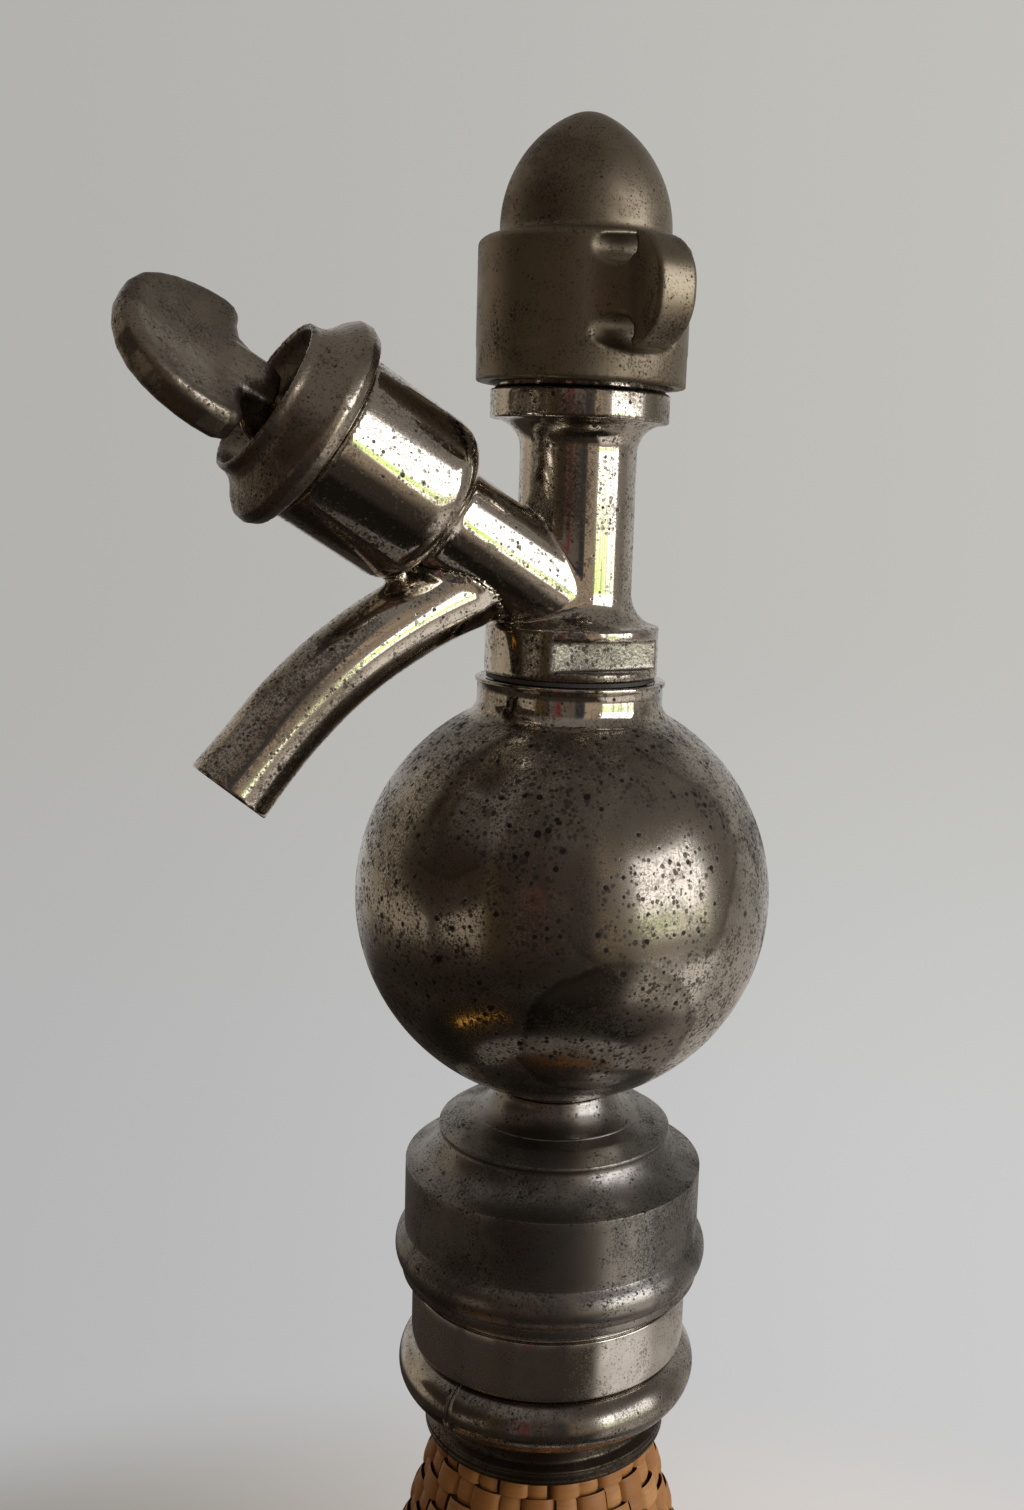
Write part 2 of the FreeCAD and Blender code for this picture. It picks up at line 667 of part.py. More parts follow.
column = turned("head_column", [
    ("0", "0"),
    ("spigot_radius", "0"),
    ("spigot_radius", "spigot_length"),
    ("collar_radius", "spigot_length"),
    ("collar_radius", "spigot_length + collar_height"),
    ("(collar_radius + column_radius) / 2 + collar_step", "spigot_length + collar_height + collar_step",
     "hollow column_flare"),
    ("column_radius", "spigot_length + collar_height + column_flare"),
    ("column_radius", "spigot_length + collar_height + column_flare + column_height",
     "hollow flange_flare"),
    ("flange_radius - thread_gap", "%s - %s + spigot_length" % (FLANGE, COLLAR)),
    ("flange_radius", "%s - %s + spigot_length + thread_gap" % (FLANGE, COLLAR)),
    ("flange_radius", "%s - %s + spigot_length" % (STUB, COLLAR)),
    ("stub_radius", "%s - %s + spigot_length" % (STUB, COLLAR)),
    ("stub_radius", "%s - %s + spigot_length" % (STUB_TOP, COLLAR)),
    ("0", "%s - %s + spigot_length" % (STUB_TOP, COLLAR)),
], at(COLLAR + " - spigot_length"))

branch_tube = rod("branch_tube", "branch_radius", "chamber_floor", VALVE)
branch_cup = turned("branch_cup", [
    ("0", "0"),
    ("cup_radius - cup_back_round", "0", "round cup_back_round"),
    ("cup_radius", "cup_back_round"),
    ("cup_radius", "cup_end - cup_start"),
    ("0", "cup_end - cup_start"),
], along("cup_start"))

head_bores = turned("head_bores", [
    ("0", "%s - check_depth" % CHECK_TOP),
    ("check_bore", "%s - check_depth" % CHECK_TOP),
    ("check_bore", CHECK_TOP),
    ("ball_seat_bore", CHECK_TOP),
    ("ball_seat_bore", RECESS),
    ("stub_recess_radius", RECESS),
    ("stub_recess_radius", STUB_TOP + " + 1"),
    ("0", STUB_TOP + " + 1"),
], at("0"))
INLET_HEIGHT = "(%s + inlet_offset / cos(branch_rise))" % VALVE_ORIGIN
liquid_bore = turned("liquid_bore_tool", [
    ("0", "-1"),
    ("riser_radius + running_fit", "-1"),
    ("riser_radius + running_fit", "riser_depth"),
    ("liquid_bore", "riser_depth"),
    ("liquid_bore", "%s - %s + spigot_length + inlet_bore" % (INLET_HEIGHT, COLLAR)),
    ("0", "%s - %s + spigot_length + inlet_bore" % (INLET_HEIGHT, COLLAR)),
], at(COLLAR + " - spigot_length"))
gas_bore = rod("gas_bore_tool", "gas_bore", "%s - %s + spigot_length + 2 * gas_bore + 1"
               % (CHECK_FLOOR, COLLAR), at(COLLAR + " - spigot_length - 1", "0", "gas_offset"))
gas_cross = rod("gas_cross_tool", "gas_cross_bore", "gas_offset",
                "placement(vector(0;0;%s + gas_bore);rotation(vector(0;1;0);90))" % CHECK_FLOOR)
valve_bores = turned("valve_bores", [
    ("0", "branch_bore_start"),
    ("branch_bore", "branch_bore_start"),
    ("branch_bore", "cup_start"),
    ("seat_radius + running_fit", "cup_start"),
    ("seat_radius + running_fit", "chamber_floor"),
    ("chamber_radius", "chamber_floor"),
    ("chamber_radius", "cup_end - gland_depth"),
    ("gland_bore", "cup_end - gland_depth"),
    ("gland_bore", "cup_end + 1"),
    ("0", "cup_end + 1"),
], VALVE)
inlet_bore = rod("inlet_bore_tool", "inlet_bore", "chamber_floor",
                 along("inlet_offset * tan(branch_rise)", "inlet_offset"))
flat_tools = [
    block("flat_tool_%d" % turn, "collar_radius", "3 * collar_radius", "flat_height",
          at("%s + (collar_height - flat_height) / 2" % COLLAR, "flat_azimuth + %d" % turn)
          + " * placement(vector(flat_distance;-1.5 * collar_radius;0);"
            "rotation(vector(0;0;1);0))")
    for turn in (0, 180)]

# ---- spout ---------------------------------------------------------------------------------------

ROOT = "vector(-spout_root_out;0;%s + spout_root_up)" % VALVE_ORIGIN
BEND_CENTRE = ("vector(-spout_root_out + spout_bend_radius * sin(spout_root_slope);0;"
               "%s + spout_root_up - spout_bend_radius * cos(spout_root_slope))" % VALVE_ORIGIN)
BEND = ("placement(%s;rotation(vector(1;0;0);90))"
        " * placement(vector(0;0;0);rotation(vector(0;0;1);90 + spout_root_slope))" % BEND_CENTRE)
TIP_START = BEND + (" * placement(vector(0;0;0);rotation(vector(0;0;1);"
                    "spout_tip_slope - spout_root_slope))"
                    " * placement(vector(spout_bend_radius;0;0);rotation(vector(1;0;0);-90))")


def spout_run(name, radius, straight):
    """A round end, a bend and a straight tip of this radius, all in one."""
    bend = doc.addObject("Part::Torus", name + "_bend")
    bind(bend, Radius1="spout_bend_radius", Radius2=radius, Angle3="spout_tip_slope - spout_root_slope",
         Placement=BEND)
    end = doc.addObject("Part::Sphere", name + "_root")
    bind(end, Radius=radius, Placement="placement(%s;rotation(vector(0;0;1);0))" % ROOT)
    tip = rod(name + "_tip", radius, straight, TIP_START)
    return joined(name, bend, end, tip)


spout_solid = spout_run("spout_solid", "spout_radius", "spout_straight")
spout_passage = spout_run("spout_passage", "spout_bore", "1.2 * spout_straight")
node("spout", without("spout", spout_solid, joined("spout_seat", branch_tube, branch_cup, column),
                      spout_passage))
spout_port = rod("spout_port_tool", "branch_bore", "spout_root_out / 2",
                 "placement(%s;rotation(vector(0;1;0);branch_rise))" % ROOT)

head_solid = joined("head_solid", column, branch_tube, branch_cup)
node("head_body", without("head_body", head_solid, head_bores, liquid_bore, gas_bore, gas_cross,
                          valve_bores, inlet_bore, spout_port, *flat_tools))

# ---- non-return valve, needle and bulb washer ----------------------------------------------------

node("check_seat", turned("check_seat", [
    ("gas_bore", "0"),
    ("ball_seat_bore - running_fit", "0"),
    ("ball_seat_bore - running_fit", "check_seat_height"),
    ("gas_bore", "check_seat_height"),
], at(CHECK_TOP)))

check_ball = doc.addObject("Part::Sphere", "check_ball")
node("check_ball", bind(check_ball, Radius="check_ball_radius",
                        Placement=at(CHECK_FLOOR + " + seat_gap + check_ball_radius")))

PIN_FOOT = "(%s - pin_base_height)" % RECESS
node("piercing_pin", turned("piercing_pin", [
    ("pin_radius / 2", "0"),
    ("ball_seat_bore - running_fit", "0"),
    ("ball_seat_bore - running_fit", "pin_base_height - seat_gap"),
    ("pin_radius", "pin_base_height - seat_gap"),
    ("pin_radius", "%s - %s + pin_reach - pin_radius" % (BULB_FOOT, PIN_FOOT)),
    ("pin_radius / 2", "%s - %s + pin_reach" % (BULB_FOOT, PIN_FOOT)),
], at(PIN_FOOT)))

node("bulb_washer", turned("bulb_washer", [
    ("pin_radius + thread_gap", "0"),
    ("stub_recess_radius - thread_gap", "0"),
    ("stub_recess_radius - thread_gap", "bulb_washer_height"),
    ("pin_radius + thread_gap", "bulb_washer_height"),
], at(RECESS + " + seat_gap")))

# ---- gas bulb and its cap ------------------------------------------------------------------------

BULB_SHOULDER = "(bulb_neck_height + bulb_shoulder_height)"
BULB_CROWN = "(%s + bulb_body_height)" % BULB_SHOULDER
node("gas_bulb", turned("gas_bulb", [
    ("bulb_mouth", "0"),
    ("bulb_neck_radius", "0"),
    ("bulb_neck_radius", "bulb_neck_height"),
    ("bulb_radius", BULB_SHOULDER),
    ("bulb_radius", BULB_CROWN, "round bulb_radius"),
    ("0", BULB_CROWN + " + bulb_radius"),
    ("0", BULB_CROWN + " + bulb_radius - bulb_wall", "hollow bulb_radius - bulb_wall"),
    ("bulb_radius - bulb_wall", BULB_CROWN),
    ("bulb_radius - bulb_wall", BULB_SHOULDER + " + bulb_wall / 2"),
    ("bulb_neck_radius - bulb_wall", "bulb_neck_height + bulb_wall / 2"),
    ("bulb_neck_radius - bulb_wall", "pin_reach + bulb_wall"),
    ("bulb_mouth", "pin_reach + bulb_wall"),
], at(BULB_FOOT)))

# The dome's side is an arc about a centre behind the axis, its nose a smaller arc inside it.
DOME_BACK = "(dome_curve - dome_radius)"
DOME_LIFT = "(%s + dome_step)" % CAP_HEIGHT
NOSE_LIFT = "(%s + sqrt((dome_curve - dome_nose)^2 - %s^2))" % (DOME_LIFT, DOME_BACK)
NOSE_SHARE = "%s / (dome_curve - dome_nose)" % DOME_BACK
NOSE_RISE = "sqrt(1 - (%s)^2)" % NOSE_SHARE
THREAD_BORE = "(stub_radius + thread_gap)"
DOME_INSIDE = "(dome_radius - dome_wall)"


def dome_corners(inset):
    """The dome's side and nose from its base up to the axis, this far inside the skin."""
    curve = "(dome_curve - %s)" % inset
    nose = "(dome_nose - %s)" % inset
    return [
        ("dome_radius - " + inset, DOME_LIFT, "round " + curve),
        ("%s * %s" % (nose, NOSE_SHARE), "%s + %s * %s" % (NOSE_LIFT, nose, NOSE_RISE),
         "round " + nose),
        ("0", "%s + %s" % (NOSE_LIFT, nose)),
    ]


cap = turned("bulb_cap", [
    (THREAD_BORE, "0"),
    ("cap_radius - thread_gap", "0"),
    ("cap_radius", "thread_gap"),
    ("cap_radius", CAP_HEIGHT + " - cap_edge", "round cap_edge"),
    ("cap_radius - cap_edge", CAP_HEIGHT),
    ("dome_radius + thread_gap", CAP_HEIGHT, "hollow dome_step"),
] + dome_corners("0") + downwards(dome_corners("dome_wall")) + [
    (DOME_INSIDE, "cap_thread_depth"),
    (THREAD_BORE, "cap_thread_depth"),
], at(CAP_FOOT, "wing_azimuth"))

WING_MIDDLE = CAP_HEIGHT + " / 2 + wing_rise"
WING_FOOT = "(cap_radius - wing_root)"
WING_SHOULDER = "(cap_radius + wing_lobe_centre)"


def wing_corners(side):
    """One ear: a narrow neck at the cap's wall, scalloped above and below, and a round lobe."""
    return [
        ("%s %s" % (side, WING_FOOT), WING_MIDDLE + " - wing_neck"),
        ("%s (cap_radius + wing_scallop_start)" % side, WING_MIDDLE + " - wing_neck"),
        ("%s %s" % (side, WING_SHOULDER), WING_MIDDLE + " - wing_half_height"),
        ("%s wing_reach" % side, WING_MIDDLE),
        ("%s %s" % (side, WING_SHOULDER), WING_MIDDLE + " + wing_half_height"),
        ("%s (cap_radius + wing_scallop_start)" % side, WING_MIDDLE + " + wing_neck"),
        ("%s %s" % (side, WING_FOOT), WING_MIDDLE + " + wing_neck"),
    ]


def add_wing(body, side):
    corners = wing_corners("1 *")
    lobe = "wing_half_height * 1.02"
    corners[1] = corners[1] + ("hollow wing_scallop",)
    corners[2] = corners[2] + ("round " + lobe,)
    corners[3] = corners[3] + ("round " + lobe,)
    corners[4] = corners[4] + ("hollow wing_scallop",)
    if side < 0:
        mirrored = [("-1 * " + corner[0],) + corner[1:] for corner in corners]
        corners = downwards(mirrored)
        corners = [c[:2] + (swap_bend(c[2]),) if len(c) == 3 else c for c in corners]
    sketch = outline(body, "XZ_Plane", corners)
    pad = body.newObject("PartDesign::Pad", "wing_pad")
    pad.Profile = sketch
    pad.Midplane = True
    bind(pad, Length="wing_thickness")
    return pad


def swap_bend(bend):
    kind, radius = bend.split(" ", 1)
    return ("hollow " if kind == "round" else "round ") + radius


for side in (1, -1):
    add_wing(cap, side)
node("bulb_cap", cap)

PAD_TOP = "(%s + sqrt((dome_nose - dome_wall)^2 - pad_radius^2) - seat_gap)" % NOSE_LIFT
PAD_FOOT = "(%s - %s + %s + bulb_radius + thread_gap)" % (BULB_FOOT, CAP_FOOT, BULB_CROWN)
node("bulb_pad", turned("bulb_pad", [
    ("0", PAD_FOOT), ("pad_radius", PAD_FOOT), ("pad_radius", PAD_TOP), ("0", PAD_TOP)],
    at(CAP_FOOT)))

# ---- valve seat, stem, spring and gland ----------------------------------------------------------

SEAT_FACE = "(chamber_floor + seat_lip)"
node("valve_seat", turned("valve_seat", [
    ("seat_hole", "cup_start + seat_gap"),
    ("seat_radius", "cup_start + seat_gap"),
    ("seat_radius", "chamber_floor"),
    ("seat_lip_radius", "chamber_floor"),
    ("seat_lip_radius", SEAT_FACE),
    ("seat_hole", SEAT_FACE),
], VALVE))

WASHER_FOOT = "(%s + seat_gap)" % SEAT_FACE
DISC_FOOT = "(%s + valve_washer_height + running_fit)" % WASHER_FOOT
STEM_HEAD = "(pivot_along + fork_half_height + 2 * seat_gap)"
node("valve_washer", turned("valve_washer", [
    ("stem_radius + running_fit", WASHER_FOOT),
    ("valve_washer_radius", WASHER_FOOT),
    ("valve_washer_radius", WASHER_FOOT + " + valve_washer_height"),
    ("stem_radius + running_fit", WASHER_FOOT + " + valve_washer_height"),
], VALVE))
node("valve_stem", turned("valve_stem", [
    ("0", WASHER_FOOT + " + thread_gap"),
    ("stem_radius", WASHER_FOOT + " + thread_gap"),
    ("stem_radius", DISC_FOOT),
    ("stem_disc_radius", DISC_FOOT),
    ("stem_disc_radius", DISC_FOOT + " + stem_disc_height"),
    ("stem_radius", DISC_FOOT + " + stem_disc_height"),
    ("stem_radius", STEM_HEAD),
    ("stem_head_radius", STEM_HEAD),
    ("stem_head_radius", STEM_HEAD + " + stem_head_height"),
    ("0", STEM_HEAD + " + stem_head_height"),
], VALVE))

GLAND = "(cup_end - gland_depth)"


def gland_ring(name, foot, height):
    return node(name, turned(name, [
        ("stem_radius + thread_gap", foot),
        ("gland_bore - thread_gap", foot),
        ("gland_bore - thread_gap", "%s + %s" % (foot, height)),
        ("stem_radius + thread_gap", "%s + %s" % (foot, height)),
    ], VALVE))


SEAL_FOOT = "(%s + running_fit)" % GLAND
GLAND_DISC = "(%s + gland_seal_height + running_fit)" % SEAL_FOOT
gland_ring("gland_seal", SEAL_FOOT, "gland_seal_height")
gland_ring("gland_disc", GLAND_DISC, "gland_disc_height")

SPRING_FOOT = "(%s + stem_disc_height + seat_gap)" % DISC_FOOT
SPRING_LENGTH = "(%s - %s)" % (SEAL_FOOT, SPRING_FOOT)
spring_length = value_of(SPRING_LENGTH) - 2 * value_of("spring_wire + seat_gap")
spring_path = Part.makeHelix(value_of("spring_pitch"), spring_length, value_of("spring_radius"))
spring_start = FreeCAD.Vector(value_of("spring_radius"), 0, 0)
spring_section = Part.Wire(Part.makeCircle(value_of("spring_wire"), spring_start,
                                           FreeCAD.Vector(0, 1, 0)))
spring = doc.addObject("Part::Feature", "valve_spring")
spring.Shape = Part.Wire(spring_path).makePipeShell([spring_section], True, True)
node("valve_spring", bind(spring, Placement=along(
    SPRING_FOOT + " + spring_wire + seat_gap")))

# ---- lever cap, lever and pin --------------------------------------------------------------------

RING_FOOT = "(cup_end + ring_gap)"
RING_SPIGOT = "(%s + gland_disc_height + running_fit)" % GLAND_DISC
lever_ring = turned("lever_ring", [
    ("ring_bore", RING_SPIGOT),
    ("gland_bore - thread_gap", RING_SPIGOT),
    ("gland_bore - thread_gap", RING_FOOT),
    ("ring_edge_radius", RING_FOOT, "round ring_bead_height * 0.7"),
    ("ring_bead_radius", RING_FOOT + " + ring_bead_height / 2", "round ring_bead_height * 0.6"),
    ("ring_bead_radius - ring_bead_height / 4", RING_FOOT + " + ring_bead_height * 0.9",
     "hollow ring_bead_height * 0.8"),
    ("ring_waist_radius", RING_FOOT + " + ring_bead_height * 1.35"),
    ("ring_rim_radius", RING_FOOT + " + ring_height"),
    ("mouth_radius", RING_FOOT + " + ring_height"),
    ("ring_bore", "pivot_along + hub_radius"),
], VALVE)
lugs = rod("lever_lugs", "lug_radius", "2 * gland_bore * 0.8",
           PIVOT + " * " + ALONG_PIN % "-gland_bore * 0.8")
lug_slot = rod("lever_slot", "lug_radius + hub_radius", "2 * (arm_half_width + thread_gap)",
               PIVOT + " * " + ALONG_PIN % "-(arm_half_width + thread_gap)")
pin_bore = rod("lever_cap_bore", "pivot_radius + running_fit", "2 * pivot_half_length + 2 * seat_gap",
               PIVOT + " * " + ALONG_PIN % "-(pivot_half_length + seat_gap)")
lever_cap_solid = joined("lever_cap_solid", lever_ring, without("lever_lugs_cut", lugs, lug_slot))
node("lever_cap", without("lever_cap", lever_cap_solid, pin_bore))
node("lever_pin", rod("lever_pin", "pivot_radius", "2 * pivot_half_length",
                      PIVOT + " * " + ALONG_PIN % "-pivot_half_length"))

arm = milled("lever_arm", [
    ("-hub_radius", "0"),
    ("0", "-hub_radius"),
    ("hub_radius - arm_relief", "0"),
    ("hub_radius - arm_relief", "stem_head_height + arm_clearance"),
    ("pivot_drop - 2 * arm_relief", "stem_head_height + 1.8 * arm_clearance"),
    ("plate_face", "plate_start - 2 * arm_clearance"),
    ("plate_face", "plate_start + plate_thickness"),
    ("plate_face - plate_thickness + arm_relief", "plate_start + plate_thickness"),
    ("plate_face - plate_thickness + arm_relief", "plate_start + 0.7 * arm_clearance"),
    ("hub_radius - 2 * arm_relief", "plate_start - arm_clearance"),
    ("-hub_radius * 0.4", "hub_radius + 2 * arm_relief"),
], "2 * arm_half_width", PIVOT)
hub = rod("lever_hub", "hub_radius", "2 * arm_half_width", PIVOT + " * "
          + ALONG_PIN % "-arm_half_width")
prongs = [
    block("lever_prong_" + side, "pivot_drop + fork_reach", "fork_thickness",
          "2 * fork_half_height",
          PIVOT + " * placement(vector(0;%s;-fork_half_height);rotation(vector(0;0;1);0))" % start)
    for side, start in (("near", "-arm_half_width"), ("far", "arm_half_width - fork_thickness"))]
horn = "plate_horn"
plate = milled("thumb_plate", [
    ("-plate_neck", "0"),
    ("plate_neck", "0", "hollow plate_half_width * 0.62"),
    ("plate_half_width - plate_horn_round", horn, "round plate_horn_round"),
    ("plate_half_width", horn + " + plate_horn_round", "round plate_length"),
    ("plate_half_width * 0.62", "plate_length * 0.89", "round plate_half_width * 1.25"),
    ("-plate_half_width * 0.62", "plate_length * 0.89", "round plate_length"),
    ("-plate_half_width", horn + " + plate_horn_round", "round plate_horn_round"),
    ("-(plate_half_width - plate_horn_round)", horn, "hollow plate_half_width * 0.62"),
], "plate_thickness",
    PIVOT + " * placement(vector(plate_face - plate_thickness / 2;0;"
            "plate_start - plate_setback + plate_length / 2);rotation(vector(1;0;0);plate_turn))"
            " * placement(vector(0;0;-plate_length / 2);rotation(vector(0;1;0);-plate_tilt))",
    "YZ_Plane")
dish = doc.addObject("Part::Sphere", "plate_dish_tool")
bind(dish, Radius="plate_dish_curve", Placement=PIVOT + (
    " * placement(vector(plate_face + plate_dish_curve - plate_dish;0;"
    "plate_start - plate_setback + plate_length * 0.55);rotation(vector(0;0;1);0))"))
plate = without("dished_plate", plate, dish)
lever_solid = joined("lever_solid", arm, hub, plate, *prongs)
hub_bore = rod("lever_bore", "pivot_radius + running_fit", "4 * arm_half_width",
               PIVOT + " * " + ALONG_PIN % "-2 * arm_half_width")
node("thumb_lever", without("thumb_lever", lever_solid, hub_bore))

# ---- checks and export ---------------------------------------------------------------------------

doc.recompute()
failed = [item.Name for item in doc.Objects if "Invalid" in item.State or "Error" in item.State]
if failed:
    raise RuntimeError("not rebuilt: " + ", ".join(failed))
os.makedirs("parts", exist_ok=True)
for label, thing in NODES.items():
    shape = thing.Shape
    if shape.isNull() or not shape.isValid() or not shape.Solids:
        raise RuntimeError("%s has no valid solid" % label)
    shape.exportStep("parts/%s.step" % label)
    print("%-16s solids %d volume %9.1f  z %7.2f %7.2f" % (
        label, len(shape.Solids), shape.Volume, shape.BoundBox.ZMin, shape.BoundBox.ZMax))
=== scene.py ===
import bpy
import math
import numpy as np
from mathutils import Matrix, Vector


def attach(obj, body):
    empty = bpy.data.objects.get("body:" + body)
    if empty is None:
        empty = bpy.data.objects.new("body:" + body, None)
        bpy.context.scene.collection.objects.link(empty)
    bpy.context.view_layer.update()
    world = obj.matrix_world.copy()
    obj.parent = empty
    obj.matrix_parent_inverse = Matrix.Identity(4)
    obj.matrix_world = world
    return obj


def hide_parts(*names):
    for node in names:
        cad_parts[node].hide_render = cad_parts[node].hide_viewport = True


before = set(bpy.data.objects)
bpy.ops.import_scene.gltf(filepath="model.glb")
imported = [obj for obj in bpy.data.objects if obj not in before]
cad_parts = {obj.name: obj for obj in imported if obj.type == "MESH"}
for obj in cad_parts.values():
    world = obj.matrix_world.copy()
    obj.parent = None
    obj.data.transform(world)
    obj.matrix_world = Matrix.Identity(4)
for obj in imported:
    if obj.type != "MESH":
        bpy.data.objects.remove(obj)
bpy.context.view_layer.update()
MM = 0.001


# ---- fields: signed distances in millimetres, negative inside ----

def blend(a, b, radius):
    """Union with a round fillet of this radius."""
    near = np.hypot(np.maximum(radius - a, 0), np.maximum(radius - b, 0))
    return np.maximum(radius, np.minimum(a, b)) - near


def both(a, b, radius):
    """The common part, with its edges rounded."""
    near = np.hypot(np.maximum(radius + a, 0), np.maximum(radius + b, 0))
    return np.minimum(-radius, np.maximum(a, b)) + near


def minus(a, b, radius):
    """The first without the second, with its edges rounded."""
    return both(a, -b, radius)


def slab(z, low, high):
    return np.maximum(low - z, z - high)


def rod(r, z, radius, low, high):
    """A cylinder with sharp ends."""
    return np.maximum(r - radius, slab(z, low, high))


def capped(r, z, radius, low, high, edge=0.3):
    """A cylinder whose ends have rounded edges."""
    return both(r - radius, slab(z, low, high), edge)


def polygon(x, y, points):
    """Distance to a closed outline in the plane."""
    corners = np.asarray(points, float)
    best = np.full(x.shape, 1e9)
    inside = np.zeros(x.shape, bool)
    for (ax, ay), (bx, by) in zip(corners, np.roll(corners, -1, 0)):
        ex, ey = bx - ax, by - ay
        wx, wy = x - ax, y - ay
        t = np.clip((wx * ex + wy * ey) / (ex * ex + ey * ey + 1e-12), 0, 1)
        best = np.minimum(best, (wx - ex * t) ** 2 + (wy - ey * t) ** 2)
        inside ^= ((ay <= y) != (by <= y)) & (x < (bx - ax) * (y - ay) / (by - ay + 1e-30) + ax)
    return np.where(inside, -1, 1) * np.sqrt(best)


# ---- meshes ----

def mesh_of(name, points, faces):
    """A smooth-shaded object from points in metres."""
    mesh = bpy.data.meshes.new(name)
    mesh.from_pydata(np.asarray(points).tolist(), [], faces if isinstance(faces, list) else faces.tolist())
    mesh.update()
    mesh.shade_smooth()
    piece = bpy.data.objects.new(name, mesh)
    bpy.context.scene.collection.objects.link(piece)
    return piece


def sampled(field, low, count, step):
    """The field's values on a grid, worked out in slices that fit in memory."""
    axes = [low[i] + step * np.arange(count[i]) for i in range(3)]
    value = np.empty(count, np.float32)
    layers = 24
    for i in range(0, count[0], layers):
        grid = np.stack(np.meshgrid(axes[0][i:i + layers], axes[1], axes[2], indexing="ij"), -1)
        value[i:i + layers] = field(grid.reshape(-1, 3)).reshape(grid.shape[:3])
    return value


def crossed_cells(solid):
    """True for each cell whose eight corners are not all on one side."""
    nx, ny, nz = solid.shape
    total = np.zeros((nx - 1, ny - 1, nz - 1), np.int32)
    for dx in (0, 1):
        for dy in (0, 1):
            for dz in (0, 1):
                total += solid[dx:nx - 1 + dx, dy:ny - 1 + dy, dz:nz - 1 + dz]
    return (total > 0) & (total < 8)


def middles(value, where):
    """For each cell, the mean of the places where the surface crosses its edges, in cell units."""
    point = np.zeros((len(where), 3))
    weight = np.zeros(len(where))
    i, j, k = where.T
    for axis in range(3):
        others = [a for a in range(3) if a != axis]
        for u in (0, 1):
            for v in (0, 1):
                first = [0, 0, 0]
                first[others[0]], first[others[1]] = u, v
                last = list(first)
                last[axis] = 1
                a = value[i + first[0], j + first[1], k + first[2]]
                b = value[i + last[0], j + last[1], k + last[2]]
                hit = (a < 0) != (b < 0)
                at = np.tile(np.array(first, float), (len(where), 1))
                at[:, axis] += np.where(hit, a / np.where(hit, a - b, 1), 0)
                point[hit] += at[hit]
                weight[hit] += 1
    return point / weight[:, None]


def settled(field, start, step, rounds=4):
    """The points moved onto the surface, each within its own cell."""
    point = start.copy()
    reach, probe = 0.6 * step, 0.1 * step
    for _ in range(rounds):
        slope = [field(point + probe * e) - field(point - probe * e) for e in np.eye(3)]
        slope = np.stack(slope, -1) / (2 * probe)
        move = -(field(point) / np.maximum((slope ** 2).sum(-1), 0.25))[:, None] * slope
        point = start + np.clip(point + move - start, -reach, reach)
    return point


def cell_faces(solid, number):
    """A square of cells round each grid edge that the surface crosses."""
    count = solid.shape
    faces = []
    for axis in range(3):
        b, c = [(1, 2), (2, 0), (0, 1)][axis]
        near = [slice(1, n - 1) for n in count]
        far = list(near)
        near[axis] = slice(0, count[axis] - 1)
        far[axis] = slice(1, count[axis])
        here, there = solid[tuple(near)], solid[tuple(far)]
        for first, second, flip in ((here, there, False), (there, here, True)):
            cell = np.argwhere(first & ~second)
            cell[:, b] += 1
            cell[:, c] += 1
            corner = []
            for db, dc in ((-1, -1), (0, -1), (0, 0), (-1, 0)):
                q = cell.copy()
                q[:, b] += db
                q[:, c] += dc
                corner.append(number[q[:, 0], q[:, 1], q[:, 2]])
            quad = np.stack(corner, -1)
            faces.append(quad[:, ::-1] if flip else quad)
    return np.concatenate(faces)


def surface(name, field, low, high, step):
    """A mesh of the field's zero level. Corners and step in millimetres."""
    low, high = np.asarray(low, float), np.asarray(high, float)
    count = np.ceil((high - low) / step).astype(int) + 1
    value = sampled(field, low, count, step)
    solid = value < 0
    cells = crossed_cells(solid)
    where = np.argwhere(cells)
    number = np.full(cells.shape, -1, np.int64)
    number[cells] = np.arange(len(where))
    point = settled(field, low + step * (where + middles(value, where)), step)
    return mesh_of(name, point * MM, cell_faces(solid, number))


def lathe(name, profile, segments=192, start=0.0, sweep=360.0):
    """A turned piece from a closed outline of (radius, height) in millimetres, counter-clockwise."""
    profile = np.asarray(profile, float)
    whole = sweep >= 360
    turn = np.radians(start + sweep * np.linspace(0, 1, segments, endpoint=not whole))
    count = len(profile)
    points = np.stack([np.outer(np.cos(turn), profile[:, 0]), np.outer(np.sin(turn), profile[:, 0]),
                       np.tile(profile[:, 1], (segments, 1))], -1).reshape(-1, 3)
    i, j = np.meshgrid(np.arange(segments if whole else segments - 1), np.arange(count), indexing="ij")
    i2, j2 = (i + 1) % segments, (j + 1) % count
    quads = np.stack([i * count + j, i2 * count + j, i2 * count + j2, i * count + j2], -1)
    faces = quads.reshape(-1, 4).tolist()
    if not whole:
        faces += [list(range(count)), list(range((segments - 1) * count, segments * count))[::-1]]
    return mesh_of(name, points * MM, faces)


def arc(centre, radius, start, end, steps=16):
    """Points of an arc in degrees."""
    a = np.radians(np.linspace(start, end, steps + 1))
    return [(centre[0] + radius * math.cos(v), centre[1] + radius * math.sin(v)) for v in a]


def dense(points, limit=1.2):
    """The outline with long runs divided, so that the mesh is even."""
    made = []
    for index, point in enumerate(points):
        ahead = points[(index + 1) % len(points)]
        parts = max(1, int(np.linalg.norm(ahead - point) / limit))
        made += [point + (ahead - point) * k / parts for k in range(parts)]
    return np.array(made)


